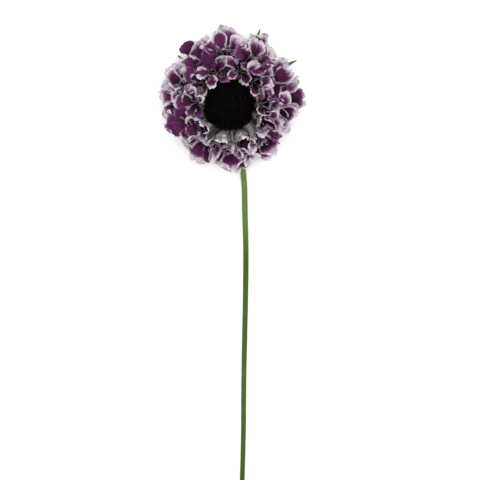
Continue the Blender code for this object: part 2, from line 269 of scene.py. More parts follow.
class NodeSheet:
    """A material with short ways to add and join its nodes."""

    def __init__(self, name: str, roughness: float, gloss: float, sheen: float = 0.0) -> None:
        """Makes the material, with what is the same all over it on the shader's own sockets."""
        self.material = bpy.data.materials.new(name)
        self.material.use_nodes = True
        self.tree = self.material.node_tree
        self.shader = self.tree.nodes["Principled BSDF"]
        self.shader.inputs["Roughness"].default_value = roughness
        self.shader.inputs["Specular IOR Level"].default_value = gloss
        self.shader.inputs["Sheen Weight"].default_value = sheen
        self.shader.inputs["Sheen Roughness"].default_value = SHEEN_ROUGHNESS
        self.place = self.tree.nodes.new("ShaderNodeTexCoord").outputs["Object"]

    def joined(self, value: object, socket: Socket) -> None:
        """Links an output to a socket, or sets the socket to a plain value."""
        if isinstance(value, Socket):
            self.tree.links.new(value, socket)
        else:
            socket.default_value = value

    def attribute(self, name: str) -> Socket:
        """A float that the piece's vertices carry."""
        node = self.tree.nodes.new("ShaderNodeAttribute")
        node.attribute_name = name
        return node.outputs["Fac"]

    def sum_of(self, operation: str, *values: object) -> Socket:
        """One step of arithmetic on up to three sockets or plain numbers."""
        node = self.tree.nodes.new("ShaderNodeMath")
        node.operation = operation
        for value, socket in zip(values, node.inputs):
            self.joined(value, socket)
        return node.outputs["Value"]

    def between(
        self, value: object, span: Span, interpolation: str = "SMOOTHSTEP"
    ) -> Socket:
        """Where a value lies in a span, as 0 to 1."""
        node = self.tree.nodes.new("ShaderNodeMapRange")
        node.interpolation_type = interpolation
        for name, part in zip(("Value", "From Min", "From Max"), (value, *span)):
            self.joined(part, node.inputs[name])
        return node.outputs["Result"]

    def grain(self, scale: float, detail: float = 2.0, at: object = None) -> Socket:
        """Noise with that many cells to a metre, about 0.5 on average."""
        node = self.tree.nodes.new("ShaderNodeTexNoise")
        node.inputs["Scale"].default_value = scale
        node.inputs["Detail"].default_value = detail
        self.joined(at if at is not None else self.place, node.inputs["Vector"])
        return node.outputs["Fac"]

    def vector(self, x: object, y: object, z: object) -> Socket:
        """A vector of three numbers or sockets."""
        node = self.tree.nodes.new("ShaderNodeCombineXYZ")
        for value, socket in zip((x, y, z), node.inputs):
            self.joined(value, socket)
        return node.outputs["Vector"]

    def along(self, axis: str) -> Socket:
        """One coordinate of the place on the piece."""
        node = self.tree.nodes.new("ShaderNodeSeparateXYZ")
        self.joined(self.place, node.inputs["Vector"])
        return node.outputs[axis]

    def ramp(self, share: object, stops: tuple[tuple[float, Colour], ...]) -> Socket:
        """A colour that runs through the stops as share goes from 0 to 1."""
        node = self.tree.nodes.new("ShaderNodeValToRGB")
        points = node.color_ramp.elements
        while len(points) < len(stops):
            points.new(1.0)
        for point, (position, colour) in zip(points, stops):
            point.position = position
            point.color = (*colour, 1)
        self.joined(share, node.inputs["Fac"])
        return node.outputs["Color"]

    def mix(
        self, share: object, first: object, second: object, blend: str = "MIX"
    ) -> Socket:
        """Mixes two colours, each a socket or a plain colour."""
        node = self.tree.nodes.new("ShaderNodeMix")
        node.data_type = "RGBA"
        node.blend_type = blend
        self.joined(share, node.inputs[MIX_SHARE])
        for value, index in ((first, MIX_FIRST), (second, MIX_SECOND)):
            self.joined((*value, 1) if isinstance(value, tuple) else value, node.inputs[index])
        return node.outputs[MIX_RESULT]

    def colour(self, value: object) -> None:
        """Gives the shader its base colour, a socket or a plain colour."""
        value = (*value, 1) if isinstance(value, tuple) else value
        self.joined(value, self.shader.inputs["Base Color"])

    def bump(self, height: object, depth: float) -> None:
        """Gives the shader a relief of that depth in metres."""
        node = self.tree.nodes.new("ShaderNodeBump")
        node.inputs["Distance"].default_value = depth
        self.joined(height, node.inputs["Height"])
        self.joined(node.outputs["Normal"], self.shader.inputs["Normal"])


class PetalSide(Enum):
    """The two faces of a petal."""

    FACE = "face"
    BACK = "back"


@dataclass(frozen=True)
class PetalFinish:
    """Velvety petals, purple in the middle and white at the margin, with grey-mauve backs.

    Streaks run along each lobe. They and the blotches fray the inner edge of the pale margin,
    whose width the lobe's own attributes give. A span is where something starts and ends on the
    scale of what drives it.
    """

    plum: Colour = (0.013, 0.0012, 0.008)
    purple: Colour = (0.060, 0.0055, 0.044)
    bright: Colour = (0.104, 0.0175, 0.082)
    violet: Colour = (0.136, 0.041, 0.124)
    lilac: Colour = (0.300, 0.210, 0.290)
    white: Colour = (0.690, 0.655, 0.675)
    margin_stops: tuple[float, ...] = (0.0, 0.25, 0.55, 0.85)
    back_dark: Colour = (0.100, 0.066, 0.090)
    back_mid: Colour = (0.380, 0.340, 0.365)
    back_pale: Colour = (0.600, 0.580, 0.590)
    vein: Colour = (0.58, 0.48, 0.56)
    # Painted shade: the face is multiplied towards this colour down in the throat, as if the funnel
    # shadowed it
    throat: Colour = (0.20, 0.15, 0.18)
    roughness: float = 0.62
    gloss: float = 0.05
    sheen: float = 0.01
    streak_density: tuple[float, float, float] = (7.0, 1.4, 37.0)
    streak_scale: float = 1.6
    blotch_scale: float = 420.0
    detail: float = 3.0
    streak_fray: float = 0.9
    blotch_fray: float = 0.4
    fray_middle: float = 0.65
    margin_span: Span = (0.18, 0.86)
    face_margin_span: Span = (0.0, 0.30)
    back_margin_span: Span = (0.1, 0.95)
    blotch_shade: float = 1.4
    tip_shade: float = 0.75
    shade_span: Span = (0.85, 2.15)
    vein_span: Span = (0.40, 0.62)
    vein_depth: float = 0.10 * MM
    painted_throat_shade_span: Span = (-0.3, 0.62)

    def material(self, side: PetalSide) -> Material:
        """The material of one side of the petals."""
        sheet = NodeSheet("petal_" + side.value, self.roughness, self.gloss, self.sheen)
        driven = [sheet.attribute(name) for name in ("across", "along", "tone")]
        scaled = [sheet.sum_of("MULTIPLY", *pair) for pair in zip(driven, self.streak_density)]
        streaks = sheet.grain(self.streak_scale, self.detail, at=sheet.vector(*scaled))
        blotches = sheet.grain(self.blotch_scale, self.detail)
        share = sheet.sum_of("DIVIDE", sheet.attribute("margin"), sheet.attribute("pale"))
        share = sheet.sum_of("MULTIPLY_ADD", streaks, self.streak_fray, share)
        share = sheet.sum_of("MULTIPLY_ADD", blotches, self.blotch_fray, share)
        share = sheet.sum_of("SUBTRACT", share, self.fray_middle)
        pale = sheet.sum_of("SUBTRACT", 1.0, sheet.between(share, self.margin_span))
        pale = sheet.sum_of("MULTIPLY", pale, sheet.attribute("white"))
        shades = [(streaks, self.vein_span, self.vein)]
        if side is PetalSide.FACE:
            colour = self.face_colour(sheet, pale, blotches)
            # Painted shade: the face darkens towards the throat, where the funnel lies in shadow
            shades.append((sheet.attribute("along"), self.painted_throat_shade_span, self.throat))
        else:
            middle = sheet.mix(streaks, self.back_dark, self.back_mid)
            share = sheet.between(pale, self.back_margin_span)
            colour = sheet.mix(share, middle, self.back_pale)
        for value, span, shade in shades:
            veil = sheet.mix(sheet.between(value, span), shade, (1.0, 1.0, 1.0))
            colour = sheet.mix(1.0, colour, veil, "MULTIPLY")
        sheet.colour(colour)
        sheet.bump(streaks, self.vein_depth)
        return sheet.material

    def face_colour(
        self, sheet: NodeSheet, pale: Socket, blotches: Socket
    ) -> Socket:
        """The face's colour, from a dark base to a brighter tip and out to the pale margin.

        Args:
            sheet: the material's sheet.
            pale: how pale the margin makes the place, from 0 to 1.
            blotches: the noise that clouds the middle.

        Returns:
            The colour.
        """
        shade = sheet.sum_of("MULTIPLY_ADD", blotches, self.blotch_shade, sheet.attribute("tone"))
        shade = sheet.sum_of("MULTIPLY_ADD", sheet.attribute("along"), self.tip_shade, shade)
        middle = sheet.mix(sheet.between(shade, self.shade_span), self.plum, self.bright)
        colours = (self.purple, self.violet, self.lilac, self.white)
        margin = sheet.ramp(pale, tuple(zip(self.margin_stops, colours)))
        return sheet.mix(sheet.between(pale, self.face_margin_span), middle, margin)


@dataclass(frozen=True)
class BudFinish:
    """Unopened buds, nearly black, with olive painted highlights on some of their tips."""

    black: Colour = (0.0018, 0.0013, 0.0011)
    # Painted highlight: the olive that lights up some of the buds' tips
    olive: Colour = (0.009, 0.0075, 0.004)
    roughness: float = 0.6
    gloss: float = 0.03
    spot_scale: float = 620.0
    spot_span: Span = (0.52, 0.72)
    grain_scale: float = 3000.0
    grain_depth: float = 0.06 * MM

    def material(self) -> Material:
        """The buds' material."""
        sheet = NodeSheet("bud_black", self.roughness, self.gloss)
        spots = sheet.between(sheet.grain(self.spot_scale), self.spot_span)
        # The olive on the spotted tips is a painted highlight
        tips = sheet.sum_of("MULTIPLY", spots, sheet.attribute("tip"))
        sheet.colour(sheet.mix(tips, self.black, self.olive))
        sheet.bump(sheet.grain(self.grain_scale), self.grain_depth)
        return sheet.material


@dataclass(frozen=True)
class CalyxFinish:
    """Half-open buds round the dome, olive and brown at the foot with a pale rim."""

    foot: Colour = (0.016, 0.012, 0.009)
    olive: Colour = (0.052, 0.046, 0.022)
    mauve: Colour = (0.034, 0.014, 0.026)
    rim: Colour = (0.150, 0.125, 0.110)
    roughness: float = 0.6
    gloss: float = 0.2
    patch_scale: float = 300.0
    patch_span: Span = (0.4, 0.6)
    fray_scale: float = 900.0
    fray: float = 0.3
    foot_span: Span = (0.15, 0.6)
    rim_span: Span = (0.95, 1.15)
    grain_scale: float = 1500.0
    grain_depth: float = 0.08 * MM

    def material(self) -> Material:
        """The half-open buds' material."""
        sheet = NodeSheet("half_open_bud", self.roughness, self.gloss)
        patches = sheet.between(sheet.grain(self.patch_scale), self.patch_span)
        body = sheet.mix(patches, self.olive, self.mauve)
        frayed = sheet.grain(self.fray_scale)
        height = sheet.sum_of("MULTIPLY_ADD", frayed, self.fray, sheet.attribute("tip"))
        lower = sheet.mix(sheet.between(height, self.foot_span), self.foot, body)
        sheet.colour(sheet.mix(sheet.between(height, self.rim_span), lower, self.rim))
        sheet.bump(sheet.grain(self.grain_scale), self.grain_depth)
        return sheet.material


@dataclass(frozen=True)
class PlantFinish:
    """Green plant skin that shades along its length, mottled, with a paler cut."""

    name: str
    stops: tuple[tuple[float, Colour], ...]
    pith: Colour = (0.46, 0.50, 0.26)
    roughness: float = 0.55
    gloss: float = 0.04
    mottle_scale: float = 160.0
    mottle_dark: Colour = (0.72, 0.74, 0.70)
    mottle_light: Colour = (1.28, 1.26, 1.30)
    grain_scale: float = 2600.0
    grain_depth: float = 0.07 * MM
    detail: float = 3.0

    def material(self, span: Span, axis: str = "Y") -> Material:
        """The skin's material.

        Args:
            span: where along the axis the first and the last colour lie, in metres.
            axis: the axis that the colours run along.

        Returns:
            The material.
        """
        sheet = NodeSheet(self.name, self.roughness, self.gloss)
        share = sheet.between(sheet.along(axis), span, "LINEAR")
        mottle = sheet.grain(self.mottle_scale, self.detail)
        mottle = sheet.mix(mottle, self.mottle_dark, self.mottle_light)
        skin = sheet.mix(1.0, sheet.ramp(share, self.stops), mottle, "MULTIPLY")
        sheet.colour(sheet.mix(sheet.attribute("pith"), skin, self.pith))
        sheet.bump(sheet.grain(self.grain_scale, self.detail), self.grain_depth)
        return sheet.material


@dataclass(frozen=True)
class PlainFinish:
    """A small part's colour, from a dark to a light one, broken up with fine grain."""

    name: str
    dark: Colour
    light: Colour
    roughness: float = 0.55
    gloss: float = 0.2
    mottle_scale: float = 900.0
    mottle_span: Span = (0.35, 0.65)
    grain_scale: float = 2400.0
    grain_depth: float = 0.05 * MM

    def material(self) -> Material:
        """The part's material."""
        sheet = NodeSheet(self.name, self.roughness, self.gloss)
        mottle = sheet.between(sheet.grain(self.mottle_scale), self.mottle_span)
        sheet.colour(sheet.mix(mottle, self.dark, self.light))
        sheet.bump(sheet.grain(self.grain_scale), self.grain_depth)
        return sheet.material


@dataclass(frozen=True)
class HeadPlace:
    """Where the flower's head is, and the things in it that petals bend clear of."""

    base: Vector = field(default_factory=lambda: Vector((-0.9, 85.3, 12.0)) * MM)
    nod: float = math.radians(9)
    dome_radius: float = 12.0 * MM
    dome_half_height: float = 5.6 * MM
    dome_centre: float = 15.3 * MM
    dome_margin: float = 1.7 * MM
    bract_root: float = 2.4 * MM
    bract_reach: float = 32.0 * MM
    bract_rise: float = 1.2 * MM
    bract_top: float = 11.2 * MM
    petal_gap: float = 0.9 * MM
    dome_near: float = 1.3
    dome_softness: float = 0.05
    floor_softness: float = 0.5 * MM

    @property
    def matrix(self) -> Matrix:
        """From the head's frame, whose +Z is its axis, to the world."""
        return Matrix.Translation(self.base) @ Matrix.Rotation(self.nod, 4, "X")

    def bract_height(self, distance: float) -> float:
        """Height of a bract's middle at a level distance from the head's base."""
        share = (distance - self.bract_root) / (self.bract_reach - self.bract_root)
        share = min(1.0, max(0.0, share))
        return self.bract_top * (1 - share) + self.bract_rise * math.sin(math.pi * share)

    def clear(self, point: Vector) -> Vector:
        """Bends a petal's point clear of the dome and of what lies under the petals.

        Args:
            point: the point in the head's frame.

        Returns:
            The point in the world.
        """
        from_dome = point - self.dome_centre * UP
        level = self.dome_radius + self.dome_margin
        upright = self.dome_half_height + self.dome_margin
        share = Vector((from_dome.x / level, from_dome.y / level, from_dome.z / upright)).length
        if 0 < share < self.dome_near:
            held = softly_above(share, 1.0, self.dome_softness)
            point = self.dome_centre * UP + from_dome * held / share
        world = self.matrix @ point
        away = math.hypot(world.x - self.base.x, world.y - self.base.y)
        lowest = self.petal_gap
        if away < self.bract_reach:
            lowest += self.bract_height(away)
        world.z = softly_above(world.z, lowest, self.floor_softness)
        return world


class RingName(Enum):
    """The rings of florets, from the lowest to the one beside the dome."""

    SKIRT = "skirt"
    OUTER = "outer"
    MIDDLE = "middle"
    INNER = "inner"


@dataclass(frozen=True)
class Ring:
    """A ring of florets in the head's frame, in millimetres and degrees.

    Heights run along the head's axis, and face is how far a floret's face turns from that axis.
    On the stem's side, turned adds to that, pulled brings the floret in and tucked closes its
    inner lobes. There its funnel also flares, and lip closes the outer lobe, those beside it and
    the inner ones. Margin is how wide the pale edge of its lobes is, at least and at most.
    """

    name: RingName
    count: int
    start: float
    root_r: float
    root_h: float
    throat_r: float
    throat_h: float
    face: float
    lobe: float
    opening: float
    margin: Span
    levelled: float = 0.0
    turned: float = 0.0
    pulled: float = 0.0
    tucked: float = 0.0
    lip: tuple[float, float, float] = (0, 0, 0)
    flare: float = 0.0

    @property
    def is_low(self) -> bool:
        """Whether the ring makes the bloom's outline."""
        return self.name in (RingName.SKIRT, RingName.OUTER)


RINGS = (
    Ring(RingName.SKIRT, 9, 10, 4.5, 3.2, 17.0, -0.5, 88, 10.5, 52, (3.2, 5.2), levelled=1.0),
    Ring(RingName.OUTER, 12, 4, 5.0, 5.0, 21.0, 4.5, 56, 12.5, 54, (3.2, 5.6), levelled=0.4),
    Ring(
        RingName.MIDDLE, 10, 20, 5.5, 6.2, 18.5, 9.5, 44, 10.5, 56, (2.1, 4.0),
        lip=(14, 6, 20), flare=0.2,
    ),
    Ring(
        RingName.INNER, 10, 2, 5.5, 7.2, 14.6, 13.0, 30, 8.0, 60, (1.5, 2.9),
        turned=34, pulled=2.0, tucked=24, lip=(38, 18, 14), flare=0.45,
    ),
)


def stem_side(azimuth: float) -> float:
    """How much an azimuth lies on the stem's side of the head, from 0 to 1."""
    return max(0.0, -math.sin(azimuth))


@dataclass
class Lobe:
    """One lobe of a floret, with its size and the small accidents of its growth."""

    angle: float
    length: float
    width: float
    opening: float
    curl: float
    pale: float = 2.0
    white: float = 1.0
    tone: float = 0.5
    cup: float = 0.0
    ruffle: float = 0.5 * MM
    twist: float = 0.0
    lean: float = 0.0
    phase: float = 0.0
    bare_side: float = 0.0


@dataclass
class Floret:
    """One floret: its ring, its azimuth, where it is rooted, its own frame and its lobes."""

    ring: Ring
    azimuth: float
    root: Vector
    frame: Matrix
    lobes: list[Lobe]


@dataclass
class FloretRule:
    """Places every floret of the head, by the same rule and seed as the frame's own florets.

    Angles are in degrees where a field doesn't convert them. A sector is where it starts and
    ends round the head, and a reach is a place round it with how much longer the lobes are there.
    """

    place: HeadPlace
    seed: int = 7
    look_seed: int = 41
    azimuth_jitter: float = 0.18
    place_jitter: float = 1.1
    face_jitter: float = 9
    roll_jitter: float = 14
    lobe_jitter: float = 0.14
    opening_jitter: float = 9
    lobe_shapes: tuple = ((1.0, 0.64, 6), (0.82, 0.68, 2), (0.62, 0.76, -10))
    curl: float = math.radians(16)
    curl_shares: Span = (0.2, 1.6)
    inner_lobes: tuple[int, ...] = (2, 3)
    reaches: tuple = ((8, -0.08), (46, 0.30), (150, -0.34), (215, -0.18), (322, -0.16), (101, 0.14))
    reach_spread: float = 13.0
    drape: float = math.radians(26)
    bare_side: float = 1.3 * MM
    reach_turn: float = 0.3
    reach_jitter: Span = (-0.13, 0.09)
    skirt_length: float = 0.92
    dark_sectors: tuple = ((12, 30), (98, 130), (160, 170), (196, 208))
    dark_chance: float = 0.10
    dark_sector_low_chance: float = 0.75
    dark_sector_high_chance: float = 0.35
    narrow_margin: float = 0.6
    dark_white: Span = (0.2, 0.45)
    plain_white: Span = (0.8, 1.0)
    inner_white: float = 0.55
    cups: Span = (-0.25, 0.5)
    ruffles: Span = (0.3, 1.0)
    twist: float = 32
    lean: float = 0.14
    far_side_from: float = 0.3
    far_inner_growth: float = 0.3
    far_growth: float = 0.14
    lip_cup: float = 0.65
    lip_inner_curl: float = 0.1
    lip_outer_curl: float = -0.4
    lip_widths: Span = (1.15, 1.45)
    plain_widths: Span = (0.95, 1.3)

    def florets(self) -> list[Floret]:
        """Every floret, ring by ring."""
        draw = random.Random(self.seed)
        look = random.Random(self.look_seed)
        made = []
        for ring in RINGS:
            for turn in range(ring.count):
                step = turn + draw.uniform(-self.azimuth_jitter, self.azimuth_jitter)
                azimuth = math.radians(ring.start) + math.tau * step / ring.count
                root = (ring.root_r * outward(azimuth) + ring.root_h * UP) * MM
                own_frame = self.floret_frame(ring, azimuth, draw)
                lobes = self.lobes(ring, azimuth, draw)
                for index, lobe in enumerate(lobes):
                    self.grown_look(ring, azimuth, index, lobe, look)
                made.append(Floret(ring, azimuth, root, own_frame, lobes))
        return made

    def floret_frame(self, ring: Ring, azimuth: float, draw: random.Random) -> Matrix:
        """A floret's frame: origin in its throat, +Z out of its face, +X to its outer lobe.

        Args:
            ring: the floret's ring.
            azimuth: where the floret stands in it.
            draw: the draw that the frame's own florets use too.

        Returns:
            The frame, in the head's frame.
        """
        level = ring.levelled * math.sin(azimuth)
        turned = ring.face + ring.turned * stem_side(azimuth)
        face = math.radians(turned + draw.uniform(-self.face_jitter, self.face_jitter))
        face += level * self.place.nod
        roll = math.radians(draw.uniform(-self.roll_jitter, self.roll_jitter))
        radius = ring.throat_r + draw.uniform(-self.place_jitter, self.place_jitter)
        radius -= ring.pulled * stem_side(azimuth)
        height = ring.throat_h + draw.uniform(-self.place_jitter, self.place_jitter)
        height -= level * radius * math.tan(self.place.nod)
        away = outward(azimuth)
        axis_z = math.sin(face) * away + math.cos(face) * UP
        axis_x = math.cos(face) * away - math.sin(face) * UP
        turn = framed(axis_x, axis_z.cross(axis_x), axis_z)
        origin = Matrix.Translation((radius * away + height * UP) * MM)
        return origin @ turn @ Matrix.Rotation(roll, 4, "Z")

    def lobes(self, ring: Ring, azimuth: float, draw: random.Random) -> list[Lobe]:
        """The five lobes of a floret, from its outer one round."""
        made = []
        for index in range(LOBES):
            length, width, opening = self.lobe_shapes[min(index, LOBES - index)]
            size = ring.lobe * length * (1 + draw.uniform(-self.lobe_jitter, self.lobe_jitter)) * MM
            wide = size * width * (1 + draw.uniform(-self.lobe_jitter, self.lobe_jitter))
            opened = ring.opening + opening
            opened += draw.uniform(-self.opening_jitter, self.opening_jitter)
            curl = self.curl * draw.uniform(*self.curl_shares)
            if index in self.inner_lobes:
                opened -= ring.tucked * stem_side(azimuth)
            made.append(Lobe(math.tau * index / LOBES, size, wide, math.radians(opened), curl))
        return made

    def grown_look(
        self, ring: Ring, azimuth: float, index: int, lobe: Lobe, look: random.Random
    ) -> None:
        """Draws a lobe's pale margin in millimetres, its tone and its bends.

        Args:
            ring: the floret's ring.
            azimuth: where the floret stands in it.
            index: the lobe's place in the floret, with 0 for the outer one.
            lobe: the lobe, which is changed.
            look: the draw for looks alone.
        """
        inner = index in self.inner_lobes
        self.coloured(ring, math.degrees(azimuth) % 360, inner, lobe, look)
        if ring.is_low:
            lobe.length *= self.reach(azimuth + self.reach_turn * math.sin(lobe.angle))
            lobe.length *= 1 + look.uniform(*self.reach_jitter)
        if ring.name is RingName.SKIRT:
            lobe.length *= self.skirt_length
        lobe.tone = look.random()
        lobe.cup = look.uniform(*self.cups)
        lobe.ruffle = look.uniform(*self.ruffles) * MM
        lobe.twist = math.radians(look.uniform(-self.twist, self.twist))
        lobe.lean = look.uniform(-self.lean, self.lean)
        lobe.phase = look.uniform(0, math.tau)
        lobe.bare_side = self.bare_side * look.random()
        side = stem_side(azimuth)
        lobe.opening -= math.radians(ring.lip[min(index, LOBES - index)]) * side
        over = max(0.0, math.sin(azimuth) + self.far_side_from)
        if inner and ring.name is RingName.INNER:
            lobe.opening += self.drape * over
            lobe.length *= 1 + self.far_inner_growth * over
        elif not ring.is_low:
            lobe.length *= 1 + self.far_growth * over
        if any(ring.lip):
            lobe.cup = mixed(lobe.cup, self.lip_cup, side)
            curl = self.lip_inner_curl if inner else self.lip_outer_curl
            lobe.curl = mixed(lobe.curl, curl, side)
            lobe.width *= look.uniform(*self.lip_widths)
        else:
            lobe.width *= look.uniform(*self.plain_widths)

    def coloured(
        self, ring: Ring, degrees: float, inner: bool, lobe: Lobe, look: random.Random
    ) -> None:
        """Draws how wide and how white a lobe's pale margin is.

        Args:
            ring: the floret's ring.
            degrees: where the floret stands in it.
            inner: whether the lobe is one of the floret's inner ones.
            lobe: the lobe, which is changed.
            look: the draw for looks alone.
        """
        chance = self.dark_chance
        if any(low < degrees < high for low, high in self.dark_sectors):
            chance = self.dark_sector_low_chance if ring.is_low else self.dark_sector_high_chance
        dark = look.random() < chance
        lobe.pale = look.uniform(*ring.margin) * (self.narrow_margin if dark or inner else 1.0)
        lobe.white = look.uniform(*(self.dark_white if dark else self.plain_white))
        if inner and ring.name is not RingName.INNER:
            lobe.white *= self.inner_white

    def reach(self, azimuth: float) -> float:
        """How long the outline's lobes are at an azimuth, against the rest of their ring."""
        longer = 1.0
        for middle, amount in self.reaches:
            apart = (math.degrees(azimuth) - middle + 180) % 360 - 180
            longer += amount * math.exp(-((apart / self.reach_spread) ** 2))
        return longer


@dataclass(frozen=True)
class LobeForm:
    """How every lobe is shaped. Shares run along the lobe, from 0 at its foot to 1 at its tip.

    A rate is how fast a wave or noise runs along or across the lobe. The bow and the teeth are
    shares of the lobe's length, and the notches a share of its width.
    """

    seam: float = 0.001
    first_opening: float = 0.72
    opened_at: float = 0.3
    curl_gain: float = 2.2
    bends_from: float = 0.35
    broadest_at: float = 0.6
    tip_power: float = 2.4
    tip_roundness: float = 0.55
    tip_width: float = 0.42
    free_from: float = 0.35
    notch_depth: float = 0.22
    notch_rate: float = 9
    side_phase: float = 5
    edge_bow: float = -0.17
    teeth: tuple[tuple[float, float, float], ...] = ((3.0, 0, 1.0), (8.0, 5, 0.45))
    teeth_phase: float = 9
    tooth_depth: float = 0.13
    teeth_from: float = 0.7
    foot_lift: float = 0.45 * MM
    edge_wave_rate: float = 8.5
    edge_wave_power: float = 1.7
    edge_wave_shift: float = 1.9
    tip_wave: float = 0.8
    tip_wave_rate: float = 6.2
    crumple: float = 0.7 * MM
    crumple_across: float = 1.3
    crumple_along: float = 2.2
    crumple_phase: float = 7
    side_margin: float = 1.35
    tip_margin: float = 0.5
    margin_sharpness: float = 1.6 / MM


@dataclass
class Corolla:
    """One floret's petals as a thin sheet: up its tube, round its funnel, out along five lobes."""

    floret: Floret
    place: HeadPlace
    form: LobeForm = LobeForm()
    columns: int = 12
    rows: int = 16
    tube_rings: int = 5
    funnel_rings: int = 3
    root_radius: float = 0.55 * MM
    throat_radius: float = 0.75 * MM
    funnel_radius: float = 2.3 * MM
    funnel_height: float = 3.4 * MM
    funnel_power: float = 1.8
    tube_handle: float = 0.35
    tube_rise: float = 0.3
    tube_margin: float = 9.0
    tube_pale: float = 2.0

    def __post_init__(self) -> None:
        """Flares the funnel of a floret on the stem's side."""
        flare = 1 + self.floret.ring.flare * stem_side(self.floret.azimuth)
        self.funnel_radius *= flare
        self.funnel_height *= flare

    def sheet(self) -> Mesh:
        """The sheet, in the world, with its front side on the inside of the funnel."""
        bm, layers = started(*PETAL_ATTRIBUTES, TURN)
        rings = self.tube_rings + self.funnel_rings
        same = {
            "margin": self.tube_margin,
            "pale": self.tube_pale,
            "white": 1.0,
            "tone": self.floret.lobes[0].tone,
        }

        def placed(ring: int, angle: float, vert: Vert) -> None:
            """Puts a vertex of the tube or funnel in its place."""
            vert.co = self.tube_point(ring, angle)
            marked(vert, layers, along=ring / rings - 1, **same)

        rim = swept(bm, LOBES * self.columns, rings + 1, placed)
        for lobe in self.floret.lobes:
            self.grow_lobe(bm, layers, rim, lobe)
        bmesh.ops.recalc_face_normals(bm, faces=bm.faces)
        face_out = (self.place.matrix.to_3x3() @ self.floret.frame.to_3x3()) @ UP
        lobes_faces = [face for face in bm.faces if min(v[layers["along"]] for v in face.verts) > 0]
        if sum((f.normal * f.calc_area() for f in lobes_faces), Vector()).dot(face_out) < 0:
            bmesh.ops.reverse_faces(bm, faces=bm.faces)
        for edge in bm.edges:
            edge.smooth = not edge.is_boundary
        return without_turn(bm)

    def tube_point(self, ring: int, angle: float) -> Vector:
        """A point of the tube or funnel.

        Args:
            ring: the ring that it is in, counted from the root.
            angle: where it stands round the floret's axis.

        Returns:
            The point in the world.
        """
        bearing = outward(angle)
        if ring >= self.tube_rings:
            share = (ring - self.tube_rings) / self.funnel_rings
            radius = mixed(self.throat_radius, self.funnel_radius, share**self.funnel_power)
            local = bearing * radius + UP * self.funnel_height * share
            return self.place.clear(self.floret.frame @ local)
        share = ring / self.tube_rings
        throat = self.floret.frame.translation
        axis = (self.floret.frame.to_3x3() @ UP).normalized()
        radial = outward(self.floret.azimuth)
        handle = (throat - self.floret.root).length * self.tube_handle
        points = (
            self.floret.root,
            self.floret.root + (radial + UP * self.tube_rise).normalized() * handle,
            throat - axis * handle,
            throat,
        )
        weights = (
            (1 - share) ** 3,
            3 * share * (1 - share) ** 2,
            3 * share * share * (1 - share),
            share**3,
        )
        centre = sum((point * weight for point, weight in zip(points, weights)), Vector())
        radius = mixed(self.root_radius, self.throat_radius, share)
        spoke = (self.floret.frame.to_3x3() @ bearing) * radius
        return self.place.matrix @ (centre + spoke)

    def grow_lobe(self, bm: Mesh, layers: dict, rim: list[Edge], lobe: Lobe) -> None:
        """Grows one lobe out of its fifth of the funnel's rim.

        Args:
            bm: the sheet's mesh.
            layers: its vertices' floats by name.
            rim: the edges of the funnel's rim.
            lobe: the lobe.
        """
        half_sector = math.pi / LOBES

        def turned(vert: Vert) -> float:
            """The angle from the lobe's middle, from -pi to pi."""
            return (vert[layers[TURN]] - lobe.angle + math.pi) % math.tau - math.pi

        half = half_sector + self.form.seam
        chain = [edge for edge in rim if all(abs(turned(vert)) < half for vert in edge.verts)]
        route = self.lobe_route(lobe)
        own = {"pale": lobe.pale, "white": lobe.white, "tone": lobe.tone}
        for row in range(1, self.rows + 1):
            share = row / self.rows
            chain, verts = extruded(bm, chain)
            for vert in verts:
                across = turned(vert) / half_sector
                local, margin = self.lobe_point(lobe, route[row], share, across)
                vert.co = self.place.clear(self.floret.frame @ local)
                marked(vert, layers, across=across, along=share, margin=margin / MM, **own)

    def lobe_route(self, lobe: Lobe) -> Route:
        """The lobe's middle line: a place and an angle from the floret's axis for each row."""
        form = self.form
        bearing = outward(lobe.angle)
        place = bearing * self.funnel_radius + UP * self.funnel_height
        route = [(place.copy(), lobe.opening)]
        for row in range(1, self.rows + 1):
            share = (row - 0.5) / self.rows
            opened = mixed(form.first_opening, 1.0, eased(share / form.opened_at))
            angle = lobe.opening * opened
            angle += lobe.curl * form.curl_gain * past(share, form.bends_from)
            step = (math.sin(angle) * bearing + math.cos(angle) * UP) * lobe.length / self.rows
            place = place + step
            route.append((place.copy(), angle))
        return route

    def half_width(self, lobe: Lobe, share: float) -> float:
        """Half the lobe's width at a share of its length, with a round tip."""
        narrow = self.funnel_radius * math.sin(math.pi / LOBES)
        broad = lobe.width / 2
        form = self.form
        if share < form.broadest_at:
            return mixed(narrow, broad, eased(share / form.broadest_at))
        beyond = (share - form.broadest_at) / (1 - form.broadest_at)
        rounded = (1 - beyond**form.tip_power) ** form.tip_roundness if beyond < 1 else 0.0
        return broad * mixed(form.tip_width, 1.0, rounded)

